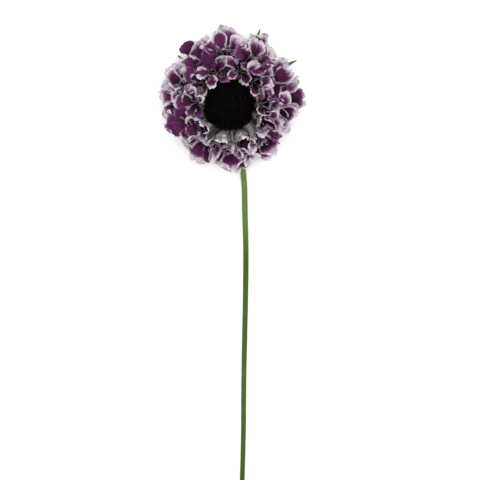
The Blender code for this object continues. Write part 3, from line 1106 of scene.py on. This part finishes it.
    def lobe_point(
        self, lobe: Lobe, station: tuple[Vector, float], share: float, across: float
    ) -> tuple[Vector, float]:
        """A point of a lobe.

        Args:
            lobe: the lobe.
            station: the place and angle of its middle line there.
            share: how far along the lobe, from 0 to 1.
            across: how far across it, from -1 to 1.

        Returns:
            The point in the floret's frame, and its distance from the lobe's edge.
        """
        middle, angle = station
        form, edge = self.form, abs(across)
        bearing = outward(lobe.angle)
        side = UP.cross(bearing)
        tangent = math.sin(angle) * bearing + math.cos(angle) * UP
        normal = math.sin(angle) * UP - math.cos(angle) * bearing
        twist = lobe.twist * share
        side, normal = (
            side * math.cos(twist) + normal * math.sin(twist),
            normal * math.cos(twist) - side * math.sin(twist),
        )
        half = self.half_width(lobe, share)
        at_notch = Vector((share * form.notch_rate, lobe.phase * form.side_phase, across > 0))
        free = eased(share / form.free_from)
        notches = 1 + free * form.notch_depth * noise.noise(at_notch)
        drift = lobe.lean * lobe.length * share * share
        bow = form.edge_bow * lobe.length * edge**2 * past(share, form.bends_from)
        teeth = sum(
            depth * noise.noise(Vector((across * rate, lobe.phase * form.teeth_phase, layer)))
            for rate, layer, depth in form.teeth
        )
        bow += form.tooth_depth * lobe.length * teeth * past(share, form.teeth_from)
        lift = self.lobe_lift(lobe, share, across, half, free)
        point = middle + side * (across * half * notches + drift) + tangent * bow + normal * lift
        to_side = (1 - edge) * half * form.side_margin + lobe.bare_side
        to_tip = (1 - share) * lobe.length * form.tip_margin
        sharp = form.margin_sharpness
        margin = -math.log(math.exp(-sharp * to_side) + math.exp(-sharp * to_tip)) / sharp
        return point, margin

    def lobe_lift(self, lobe: Lobe, share: float, across: float, half: float, free: float) -> float:
        """How far a lobe's point is lifted off its flat blade by its cup, ruffles and crumples.

        Args:
            lobe: the lobe.
            share: how far along the lobe, from 0 to 1.
            across: how far across it, from -1 to 1.
            half: half its width there.
            free: how free of the funnel it is there, from 0 to 1.

        Returns:
            The lift, in metres.
        """
        form, edge = self.form, abs(across)
        shift = form.edge_wave_shift if across > 0 else 0
        wave = math.sin(form.edge_wave_rate * share + lobe.phase + shift)
        wave *= edge**form.edge_wave_power
        wave += form.tip_wave * math.sin(form.tip_wave_rate * across + lobe.phase * 2) * share**3
        at_crumple = (across * form.crumple_across, share * form.crumple_along)
        crumple = noise.noise(Vector((*at_crumple, lobe.phase * form.crumple_phase)))
        lift = mixed(form.foot_lift, lobe.cup * half, free) * edge**2
        return lift + free * (lobe.ruffle * wave + crumple * form.crumple)


@dataclass
class FloretHead:
    """The head's florets, as one piece for each ring, with the receptacle that they grow from."""

    place: HeadPlace
    finish: PetalFinish
    petal_thickness: float = 0.16 * MM
    receptacle_radius: float = 6.6 * MM
    receptacle_half_height: float = 4.4 * MM
    receptacle_centre: float = 4.7 * MM
    receptacle_knobs: float = 0.03
    knob_size: float = 1.2 * MM

    def build(self, florets: list[Floret]) -> None:
        """Builds the rings and the receptacle, which together stand for the frame's florets."""
        materials = [self.finish.material(PetalSide.FACE), self.finish.material(PetalSide.BACK)]
        for ring in RINGS:
            self.build_ring(ring, [f for f in florets if f.ring is ring], materials)
        self.build_receptacle()

    def build_ring(
        self, ring: Ring, florets: list[Floret], materials: list[Material]
    ) -> None:
        """Builds one ring's florets in one piece, with thin petals.

        Args:
            ring: the ring.
            florets: its florets.
            materials: the petals' faces and backs.
        """
        bm, _ = started(*PETAL_ATTRIBUTES)
        for floret in florets:
            sheet = Stamp(Corolla(floret, self.place).sheet())
            sheet.press(bm)
            sheet.drop()
        piece = finished("florets_" + ring.name.value, bm, materials, ("florets",))
        thickened(piece, self.petal_thickness, offset=-1, backs=1)

    def build_receptacle(self) -> None:
        """Builds the egg in the middle of the head, which shows between the tubes."""
        bm = bmesh.new()
        bmesh.ops.create_uvsphere(bm, u_segments=32, v_segments=16, radius=1)
        size = (self.receptacle_radius, self.receptacle_radius, self.receptacle_half_height)
        bmesh.ops.scale(bm, verts=bm.verts, vec=size)
        bmesh.ops.translate(bm, verts=bm.verts, vec=self.receptacle_centre * UP)
        for vert in bm.verts:
            vert.co *= 1 + self.receptacle_knobs * noise.noise(vert.co / self.knob_size)
        bmesh.ops.transform(bm, verts=bm.verts, matrix=self.place.matrix)
        skin = PlainFinish("receptacle_green", (0.06, 0.08, 0.03), (0.12, 0.13, 0.06))
        finished("receptacle", bm, [skin.material()], ("florets",))


@dataclass(frozen=True)
class CupRow:
    """Where some half-open buds sit on the dome and how large they are, in millimetres."""

    sines: Span
    sunk: float
    lean: float
    widths: Span
    heights: Span


@dataclass
class BudDome:
    """The dark dome: a core covered with small buds and bristles, and half-open buds at its edge.

    Buds and bristles follow the golden angle, and fall is how far down the dome they go, with 2
    for the whole way. A cluster is its middle, in degrees, and its count.
    """

    place: HeadPlace
    seed: int = 3
    buds: int = 300
    bud_radius: float = 0.78 * MM
    bud_length: float = 2.3 * MM
    bristles: int = 620
    bristle_length: float = 2.1 * MM
    opening_buds: int = 30
    core_depth: float = 0.5 * MM
    bud_fall: float = 1.2
    bud_sunk: float = 0.7 * MM
    bud_sizes: Span = (0.8, 1.15)
    bud_lean: float = 0.25
    bud_narrowing: float = 0.62
    bristle_fall: float = 1.1
    bristle_turn: float = 1.1
    bristle_jitter: float = 0.1
    bristle_sunk: float = 0.2 * MM
    bristle_lengths: Span = (0.7, 1.25)
    bristle_lean: float = 0.7
    bristle_radii: Span = (0.13 * MM, 0.02 * MM)
    edge_cups: CupRow = CupRow((0.02, 0.34), 0.9, 0.35, (0.75, 1.35), (2.4, 3.8))
    cluster_cups: CupRow = CupRow((0.0, 0.35), 0.6, 0.5, (1.3, 2.0), (4.0, 5.8))
    edge_jitter: float = 0.3
    cluster_spread: float = 13
    clusters: tuple = ((117, 5), (8, 4), (62, 2), (168, 2), (330, 2))
    cup_sides: int = 15
    cup_lobing: float = 0.2
    cup_scallop: float = 0.9
    cup_wall: float = 0.14 * MM
    cup_profile: tuple = ((0.35, 0.0), (0.62, 0.30), (0.80, 0.62), (1.0, 0.86), (0.84, 1.0))

    def build(self) -> None:
        """Builds the dome's pieces."""
        draw = random.Random(self.seed)
        self.build_buds(draw)
        self.build_opening_buds(draw)

    def seat(self, azimuth: float, sine: float, sunk: float) -> Matrix:
        """The frame of a bud on the dome.

        Args:
            azimuth: where it stands round the dome.
            sine: how high it stands, from 0 at the dome's edge to 1 at its top.
            sunk: how deep its foot is in the dome.

        Returns:
            The frame in the world, with its origin at the foot and +Z out of the dome.
        """
        cosine = math.sqrt(max(0.0, 1 - sine * sine))
        unit = cosine * outward(azimuth) + sine * UP
        wide, high = self.place.dome_radius, self.place.dome_half_height
        normal = Vector((unit.x / wide, unit.y / wide, unit.z / high)).normalized()
        foot = Vector((unit.x * wide, unit.y * wide, unit.z * high)) - normal * sunk
        foot += self.place.dome_centre * UP
        turn = UP.rotation_difference(normal).to_matrix().to_4x4()
        return self.place.matrix @ Matrix.Translation(foot) @ turn

    def build_buds(self, draw: random.Random) -> None:
        """Builds the dome's core, buds and bristles in one piece."""
        bm, _ = started("tip")
        core = bmesh.ops.create_uvsphere(bm, u_segments=48, v_segments=24, radius=1)["verts"]
        wide = self.place.dome_radius - self.core_depth
        high = self.place.dome_half_height - self.core_depth
        bmesh.ops.scale(bm, verts=core, vec=(wide, wide, high))
        bmesh.ops.translate(bm, verts=core, vec=self.place.dome_centre * UP)
        bmesh.ops.transform(bm, verts=core, matrix=self.place.matrix)
        bud = self.bud_stamp()
        for index in range(self.buds):
            sine = 1 - (index + 0.5) / self.buds * self.bud_fall
            seat = self.seat(index * GOLDEN_ANGLE, sine, self.bud_sunk)
            size = draw.uniform(*self.bud_sizes)
            bud.press(bm, seat @ leaning(draw, self.bud_lean) @ stretched(size, size, size))
        bristle = self.bristle_stamp()
        for index in range(self.bristles):
            azimuth = index * GOLDEN_ANGLE + self.bristle_turn
            azimuth += draw.uniform(-self.bristle_jitter, self.bristle_jitter)
            sine = 1 - (index + 0.5) / self.bristles * self.bristle_fall
            seat = self.seat(azimuth, sine, self.bristle_sunk)
            length = draw.uniform(*self.bristle_lengths)
            bristle.press(bm, seat @ leaning(draw, self.bristle_lean) @ stretched(1, 1, length))
        for stamp in (bud, bristle):
            stamp.drop()
        finished("bud_dome_buds", bm, [BudFinish().material()], ("bud_dome",))

    def bud_stamp(self) -> Stamp:
        """One unopened bud, a blunt egg that stands on its foot."""
        bm, layers = started("tip")
        bmesh.ops.create_uvsphere(bm, u_segments=7, v_segments=5, radius=1)
        for vert in bm.verts:
            share = (vert.co.z + 1) / 2
            spread = self.bud_radius * mixed(1.0, self.bud_narrowing, eased(share))
            vert.co = Vector((vert.co.x * spread, vert.co.y * spread, share * self.bud_length))
            marked(vert, layers, tip=share)
        return Stamp(bm)

    def bristle_stamp(self) -> Stamp:
        """One bristle, a thin spike that stands on its foot."""
        bm, layers = spike(*self.bristle_radii, self.bristle_length, "tip")
        for vert in bm.verts:
            vert.co.z += self.bristle_length / 2
            marked(vert, layers, tip=vert.co.z / self.bristle_length)
        return Stamp(bm)

    def build_opening_buds(self, draw: random.Random) -> None:
        """Builds the half-open buds round the dome's edge, with larger ones in some clusters."""
        bm, _ = started("tip")
        cup = self.cup_stamp()
        for index in range(self.opening_buds):
            step = index + draw.uniform(-self.edge_jitter, self.edge_jitter)
            azimuth = math.tau * step / self.opening_buds
            if stem_side(azimuth) <= draw.random():
                self.press_cup(bm, cup, azimuth, self.edge_cups, draw)
        for middle, count in self.clusters:
            for _ in range(count):
                azimuth = middle + draw.uniform(-self.cluster_spread, self.cluster_spread)
                self.press_cup(bm, cup, math.radians(azimuth), self.cluster_cups, draw)
        cup.drop()
        skin = [CalyxFinish().material()]
        piece = finished("bud_dome_opening_buds", bm, skin, ("bud_dome",))
        thickened(piece, self.cup_wall, offset=0)

    def press_cup(
        self, bm: Mesh, cup: Stamp, azimuth: float, row: CupRow, draw: random.Random
    ) -> None:
        """Adds one half-open bud.

        Args:
            bm: the mesh to add to.
            cup: the bud.
            azimuth: where it stands round the dome.
            row: where it sits and how large it is.
            draw: the dome's draw.
        """
        seat = self.seat(azimuth, draw.uniform(*row.sines), row.sunk * MM)
        wide, tall = draw.uniform(*row.widths) * MM, draw.uniform(*row.heights) * MM
        cup.press(bm, seat @ leaning(draw, row.lean) @ stretched(wide, wide, tall))

    def cup_stamp(self) -> Stamp:
        """One half-open bud, a five-lobed cup one metre wide and high with its rim drawn in."""
        bm, layers = started("tip", TURN)

        def placed(level: int, angle: float, vert: Vert) -> None:
            """Puts a vertex of the cup in its place."""
            spread, rise = self.cup_profile[level]
            lobed = 1 + self.cup_lobing * rise * math.cos(LOBES * angle)
            scallop = 1 + self.cup_scallop * (1 - lobed)
            vert.co = outward(angle) * spread * lobed + UP * rise * scallop
            marked(vert, layers, tip=rise)

        swept(bm, self.cup_sides, len(self.cup_profile), placed, capped=True)
        bmesh.ops.recalc_face_normals(bm, faces=bm.faces)
        return Stamp(without_turn(bm))


@dataclass
class Stamens:
    """The stamens and styles that stand out of the florets' throats."""

    place: HeadPlace
    seed: int = 17
    per_floret: int = 4
    reach: float = 6.2 * MM
    thread_radius: float = 0.09 * MM
    thread_sides: int = 4
    thread_steps: int = 5
    thread_foot: float = 0.5 * MM
    thread_bow: float = 0.6 * MM
    anther_length: float = 1.35 * MM
    anther_widths: Span = (0.60, 0.52)
    turns: Span = (0.1, 0.9)
    spreads: Span = (0.25, 0.75)
    lengths: Span = (0.7, 1.25)
    anther_tilts: Span = (0.6, 2.2)

    def build(self, florets: list[Floret]) -> None:
        """Builds the pale threads and the dark anthers, each as one piece."""
        draw = random.Random(self.seed)
        threads, anthers = started(TURN)[0], bmesh.new()
        anther = self.anther_stamp()
        for floret in florets:
            for index in range(self.per_floret):
                azimuth = math.tau * (index + draw.uniform(*self.turns)) / self.per_floret
                bearing = outward(azimuth) * draw.uniform(*self.spreads) + UP
                tip = bearing.normalized() * self.reach * draw.uniform(*self.lengths)
                self.thread(threads, floret, azimuth, tip)
                turn = Matrix.Rotation(draw.uniform(0, math.tau), 4, "Z")
                turn = turn @ Matrix.Rotation(draw.uniform(*self.anther_tilts), 4, "X")
                end = Matrix.Translation(self.place.clear(floret.frame @ tip))
                anther.press(anthers, end @ turn)
        anther.drop()
        pale = PlainFinish("thread_pale", (0.42, 0.30, 0.40), (0.66, 0.58, 0.62))
        dark = PlainFinish("anther_dark", (0.010, 0.004, 0.010), (0.05, 0.02, 0.045))
        threads = without_turn(threads)
        finished("stamen_threads", threads, [pale.material()], ("florets",))
        finished("stamen_anthers", anthers, [dark.material()], ("florets",))

    def thread(self, bm: Mesh, floret: Floret, azimuth: float, tip: Vector) -> None:
        """Adds one thread that bends from the throat out to its tip.

        Args:
            bm: the mesh to add to.
            floret: the floret that it stands in.
            azimuth: the side of the floret that it leans to.
            tip: its end in the floret's frame.
        """
        foot = outward(azimuth) * self.thread_foot

        def placed(step: int, angle: float, vert: Vert) -> None:
            """Puts a vertex of the thread in its place."""
            share = step / self.thread_steps
            bow = math.sin(math.pi * share) * self.thread_bow
            centre = foot.lerp(tip, share) - outward(azimuth) * bow
            spoke = outward(angle) * self.thread_radius
            vert.co = self.place.clear(floret.frame @ (centre + spoke))

        swept(bm, self.thread_sides, self.thread_steps + 1, placed)

    def anther_stamp(self) -> Stamp:
        """One oblong anther round its own middle."""
        bm = bmesh.new()
        bmesh.ops.create_uvsphere(bm, u_segments=6, v_segments=5, radius=1)
        half = self.anther_length / 2
        wide, thick = self.anther_widths
        bmesh.ops.scale(bm, verts=bm.verts, vec=(wide * half, thick * half, half))
        return Stamp(bm)


@dataclass
class Involucre:
    """The green hub under the head with its ring of narrow hairy bracts.

    The hub's profile has its spread, in stem radii, and its height, in millimetres.
    """

    place: HeadPlace
    seed: int = 5
    count: int = 9
    start: float = math.radians(-41)
    step: float = math.radians(36)
    widest: float = 3.7 * MM
    thickness: float = 0.4 * MM
    columns: int = 6
    rows: int = 22
    long_bracts: tuple = ((2, 37.8 * MM), (3, 37.6 * MM))
    reach_jitter: Span = (-2.5, 1.5)
    half_turn_from: float = 0.18
    fullness: float = 0.8
    tip_half_width: float = 0.12 * MM
    lift: float = 0.30 * MM
    fold: float = 0.28
    fold_power: float = 1.3
    ripple: float = 0.25 * MM
    ripple_rate: float = 7
    stem_radius: float = 1.45 * MM
    hub_sides: int = 40
    hub_ribs: int = 20
    hub_rib: float = 0.05
    hub_profile: tuple = (
        (1.0, -1.6), (1.25, -1.35), (1.9, -0.9), (2.55, -0.35), (2.8, 0.1), (2.2, 0.5)
    )

    def build(self) -> None:
        """Builds the bracts and the hub, which stand for the frame's involucre."""
        # Painted shade: near black where the bracts come down to the floor under the bloom, green
        # higher up
        finish = PlantFinish(
            "bract_green",
            (
                (0.0, (0.012, 0.018, 0.010)),
                (0.05, (0.030, 0.044, 0.016)),
                (0.16, (0.080, 0.108, 0.030)),
                (1.0, (0.140, 0.190, 0.060)),
            ),
        )
        material = finish.material((0.0, self.place.base.z), "Z")
        self.build_bracts(material)
        self.build_hub(material)

    def build_bracts(self, material: Material) -> None:
        """Builds every bract as a creased blade that tapers to a point on the floor."""
        draw = random.Random(self.seed)
        bm = bmesh.new()
        for index in range(self.count):
            reach = self.place.bract_reach + draw.uniform(*self.reach_jitter) * MM
            self.add_bract(bm, index, dict(self.long_bracts).get(index, reach))
        bmesh.ops.recalc_face_normals(bm, faces=bm.faces)
        if sum(face.normal.z for face in bm.faces) < 0:
            bmesh.ops.reverse_faces(bm, faces=bm.faces)
        piece = finished("bracts", bm, [material], ("involucre",))
        thickened(piece, self.thickness, offset=0)

    def add_bract(self, bm: Mesh, index: int, reach: float) -> None:
        """Adds one bract.

        Args:
            bm: the mesh to add to.
            index: its place in the ring.
            reach: how far from the head's base its tip is.
        """
        place = self.place
        away = outward(self.start + self.step * index)
        side = UP.cross(away)
        sway = random.Random(index).uniform(-1.0, 1.0)
        grid = bmesh.ops.create_grid(bm, x_segments=self.columns, y_segments=self.rows, size=0.5)
        for vert in grid["verts"]:
            across, share = vert.co.x * 2, vert.co.y + 0.5
            bulge = math.sin(math.pi * min(1, mixed(self.half_turn_from, 1.0, share)))
            half = max(self.widest / 2 * bulge**self.fullness, self.tip_half_width)
            distance = mixed(place.bract_root, reach, share)
            level = mixed(place.bract_root, place.bract_reach, share)
            height = place.bract_height(level) + self.lift
            height += abs(across) ** self.fold_power * half * self.fold
            height += self.ripple * math.sin(self.ripple_rate * share + index) * across
            bend = sway * MM * math.sin(math.pi * share)
            flat = distance * away + side * (across * half + bend)
            vert.co = Vector((flat.x + place.base.x, flat.y + place.base.y, height))

    def build_hub(self, material: Material) -> None:
        """Builds the hub, a ribbed cup between the stem and the receptacle."""
        bm, _ = started(TURN)

        def placed(level: int, angle: float, vert: Vert) -> None:
            """Puts a vertex of the hub in its place."""
            spread, rise = self.hub_profile[level]
            rib = 1 + self.hub_rib * math.cos(self.hub_ribs * angle) * (level > 0)
            vert.co = outward(angle) * self.stem_radius * spread * rib + UP * rise * MM

        rim = swept(bm, self.hub_sides, len(self.hub_profile), placed, capped=True)
        bmesh.ops.edgeloop_fill(bm, edges=rim)
        bmesh.ops.recalc_face_normals(bm, faces=bm.faces)
        bmesh.ops.transform(bm, verts=bm.verts, matrix=self.place.matrix)
        finished("involucre_hub", without_turn(bm), [material], ("involucre",))


@dataclass
class Stem:
    """The bare stem: finely ribbed, cut on a slant, with short soft hairs near the head.

    A sway point is a way along Y from the head, and how far the stem's middle lies to +X there,
    in millimetres. The ribs, the swell and the rim of the cut are shares of the radius.
    """

    place: HeadPlace
    cut_radius: float = 1.05 * MM
    top_radius: float = 1.45 * MM
    bend_radius: float = 7.4 * MM
    leaves_floor: float = -7.6 * MM
    cut_slant: float = math.radians(40)
    top_gap: float = 1.7 * MM
    sides: int = 24
    step: float = 2.5 * MM
    bend_steps: int = 22
    hairs: int = 520
    hair_seed: int = 29
    hair_radii: Span = (0.035 * MM, 0.008 * MM)
    hair_rooted: float = 0.45
    hair_power: float = 2.2
    hairs_from: float = 0.35
    hair_lengths: Span = (0.35, 0.9)
    hair_lean: float = 0.4
    ribs: int = 8
    rib: float = 0.035
    swell: float = 0.03
    swell_rate: float = 0.35
    rim: float = 0.16
    rim_depth: float = 0.3
    cut_clearance: float = 1.1
    colour_end: float = 20 * MM
    sway_points: tuple = (
        (-204.6, 5.7), (-150.0, 6.7), (-75.0, 7.8), (-45.0, 7.2), (-20.0, 5.2), (-8.0, 1.7)
    )

    def build(self) -> None:
        """Builds the stem and its hairs, which stand for the frame's stem."""
        finish = PlantFinish(
            "stem_green",
            (
                (0.0, (0.032, 0.068, 0.003)),
                (0.33, (0.052, 0.092, 0.014)),
                (0.52, (0.046, 0.086, 0.012)),
                (0.69, (0.040, 0.082, 0.008)),
                (0.80, (0.082, 0.150, 0.031)),
                (1.0, (0.135, 0.200, 0.056)),
            ),
        )
        route = self.route()
        material = finish.material((route[0][0].y, self.place.base.y - self.colour_end))
        self.build_stalk(route, material)
        self.build_hairs(route, material)

    def sway(self, along: float) -> float:
        """How far the stem's middle lies to +X of the head, a way along Y from the head."""
        points = self.sway_points
        for (y0, x0), (y1, x1) in zip(points, points[1:]):
            if along / MM <= y1:
                return mixed(x0, x1, eased((along / MM - y0) / (y1 - y0))) * MM
        y1, x1 = points[-1]
        return x1 * (1 - min(1.0, (along / MM - y1) / -y1)) * MM

    def route(self) -> Route:
        """The stem's middle line with its radius, from the cut end to the head."""
        top = self.place.matrix @ (-UP * self.top_gap)
        turn = math.pi / 2 + self.place.nod
        start = self.sway_points[0][0] * MM
        count = round((self.leaves_floor - start) / self.step)
        places = [(mixed(start, self.leaves_floor, i / count), 0.0) for i in range(count)]
        for index in range(self.bend_steps + 1):
            angle = turn * index / self.bend_steps
            places.append((
                self.leaves_floor + self.bend_radius * math.sin(angle),
                self.bend_radius * (1 - math.cos(angle)),
            ))
        last_y, last_z = places[-1]
        route = []
        for index, (along, rise) in enumerate(places):
            radius = mixed(self.cut_radius, self.top_radius, index / (len(places) - 1))
            lift = rise / last_z
            x = self.place.base.x + self.sway(along) * (1 - lift)
            y = self.place.base.y + along + (top.y - self.place.base.y - last_y) * lift
            z = radius + (top.z - radius) * lift
            route.append((Vector((x, y, z)), radius))
        return route

    def frames(self, route: Route) -> list[Matrix]:
        """A frame at each point of the route, with +Z along the stem."""
        made = []
        for index, (place, _) in enumerate(route):
            before = route[max(0, index - 1)][0]
            after = route[min(len(route) - 1, index + 1)][0]
            axis_z = (after - before).normalized()
            axis_x = axis_z.cross(Vector((1, 0, 0))).normalized()
            turn = framed(axis_x, axis_z.cross(axis_x), axis_z)
            made.append(Matrix.Translation(place) @ turn)
        return made

    def build_stalk(self, route: Route, material: Material) -> None:
        """Builds the stalk with shallow ribs, cut on a slant at its foot.

        Args:
            route: the stem's middle line with its radius.
            material: the stem's skin.
        """
        bm, _ = started("pith", TURN)
        stations = self.frames(route)

        def placed(index: int, angle: float, vert: Vert) -> None:
            """Puts a vertex of the stalk in its place."""
            rib = 1 + self.rib * math.cos(self.ribs * angle)
            swell = 1 + self.swell * noise.noise(Vector((index * self.swell_rate, 0, 0)))
            vert.co = stations[index] @ (outward(angle) * route[index][1] * rib * swell)

        bmesh.ops.edgeloop_fill(bm, edges=swept(bm, self.sides, len(route), placed))
        without_turn(bm)
        self.cut_foot(bm, route[0][0])
        self.on_floor(bm)
        bmesh.ops.recalc_face_normals(bm, faces=bm.faces)
        finished("stem_stalk", bm, [material], ("stem",))

    def cut_foot(self, bm: Mesh, end: Vector) -> None:
        """Cuts the stalk's foot on a slant, with a rim of skin round the pith.

        Args:
            bm: the stalk's mesh.
            end: where its middle line ends.
        """
        back = self.cut_radius * self.cut_clearance * math.tan(self.cut_slant)
        cut = bmesh.ops.bisect_plane(
            bm,
            geom=bm.verts[:] + bm.edges[:] + bm.faces[:],
            plane_co=end + Vector((0, back, 0)),
            plane_no=Vector((0, -math.cos(self.cut_slant), math.sin(self.cut_slant))),
            clear_outer=True,
        )
        edges = [part for part in cut["geom_cut"] if isinstance(part, Edge)]
        face = bmesh.ops.edgeloop_fill(bm, edges=edges)["faces"][0]
        rim = self.cut_radius * self.rim
        depth = -rim * self.rim_depth
        bmesh.ops.inset_region(bm, faces=[face], thickness=rim, depth=depth)
        pith = bm.verts.layers.float["pith"]
        for vert in face.verts:
            vert[pith] = 1.0
        bmesh.ops.poke(bm, faces=[face])

    def on_floor(self, bm: Mesh) -> None:
        """Lifts what is under the floor up to it."""
        for vert in bm.verts:
            vert.co.z = max(vert.co.z, 0.0)

    def build_hairs(self, route: Route, material: Material) -> None:
        """Builds short soft hairs, most of them close under the head.

        Args:
            route: the stem's middle line with its radius.
            material: the stem's skin.
        """
        draw = random.Random(self.hair_seed)
        stations = self.frames(route)
        source, _ = spike(*self.hair_radii, 1.0)
        bmesh.ops.translate(source, verts=source.verts, vec=UP * self.hair_rooted)
        hair = Stamp(source)
        bm = bmesh.new()
        for _ in range(self.hairs):
            share = draw.random() ** self.hair_power
            index = int(mixed(len(route) - 1, len(route) * self.hairs_from, share))
            azimuth = draw.uniform(0, math.tau)
            length = draw.uniform(*self.hair_lengths) * MM
            tilt = math.pi / 2 + draw.uniform(-self.hair_lean, self.hair_lean)
            lean = Matrix.Rotation(tilt, 4, "Y")
            shift = Matrix.Translation((0, 0, draw.uniform(-1, 1) * MM))
            out = Matrix.Translation((route[index][1], 0, 0))
            around = Matrix.Rotation(azimuth, 4, "Z") @ out
            hair.press(bm, stations[index] @ shift @ around @ lean @ stretched(1, 1, length))
        hair.drop()
        self.on_floor(bm)
        finished("stem_hairs", bm, [material], ("stem",))


@dataclass
class Studio:
    """The plain pale floor, the soft lights and the camera that looks straight down."""

    frame_width: float = 228.6 * MM
    middle: Vector = field(default_factory=lambda: Vector((4.05, 17.9, 0)) * MM)
    bloom_height: float = 22 * MM
    camera_height: float = 1.4
    floor_size: float = 8.0
    floor_white: Colour = (0.93, 0.93, 0.93)
    floor_roughness: float = 0.9
    world_white: Colour = (1.0, 1.0, 1.0)
    world_strength: float = 1.2
    key_place: Vector = field(default_factory=lambda: Vector((0.05, 0.15, 1.50)))
    key_aim: Vector = field(default_factory=lambda: Vector((0, 60, 0)) * MM)
    key_size: float = 0.9
    key_power: float = 10.0

    def build(self) -> None:
        """Builds the floor, the world, the light and the camera."""
        self.build_floor()
        self.build_camera()
        world = bpy.data.worlds.new("studio")
        world.use_nodes = True
        background = world.node_tree.nodes["Background"]
        background.inputs["Color"].default_value = (*self.world_white, 1)
        background.inputs["Strength"].default_value = self.world_strength
        bpy.context.scene.world = world
        bpy.context.scene.view_settings.view_transform = "Standard"
        self.build_key()

    def build_floor(self) -> None:
        """Builds the floor, which isn't part of the flower."""
        bm = bmesh.new()
        bmesh.ops.create_grid(bm, x_segments=1, y_segments=1, size=self.floor_size / 2)
        mesh = bpy.data.meshes.new("floor")
        bm.to_mesh(mesh)
        bm.free()
        floor = bpy.data.objects.new("floor", mesh)
        bpy.context.scene.collection.objects.link(floor)
        sheet = NodeSheet("floor_white", self.floor_roughness, 0.0)
        sheet.colour(self.floor_white)
        mesh.materials.append(sheet.material)

    def build_key(self) -> None:
        """Builds the square soft light that looks at the bloom."""
        light = bpy.data.lights.new("key", "AREA")
        light.energy = self.key_power
        light.size = self.key_size
        lamp = bpy.data.objects.new("key", light)
        lamp.location = self.key_place
        aim = self.key_aim - self.key_place
        lamp.rotation_euler = aim.to_track_quat("-Z", "Y").to_euler()
        bpy.context.scene.collection.objects.link(lamp)

    def build_camera(self) -> None:
        """Builds the camera, straight above, with the stem running down the picture."""
        data = bpy.data.cameras.new("camera")
        distance = self.camera_height - self.bloom_height
        data.lens = data.sensor_width * distance / self.frame_width
        camera = bpy.data.objects.new("camera", data)
        camera.location = self.middle + UP * self.camera_height
        bpy.context.scene.collection.objects.link(camera)
        bpy.context.scene.camera = camera


def main() -> None:
    """Builds the studio and then the flower, piece by piece."""
    logging.basicConfig(level=logging.INFO, format="%(message)s")
    Studio().build()
    place = HeadPlace()
    florets = FloretRule(place).florets()
    FloretHead(place, PetalFinish()).build(florets)
    Stamens(place).build(florets)
    BudDome(place).build()
    Involucre(place).build()
    Stem(place).build()


if __name__ == "__main__":
    main()
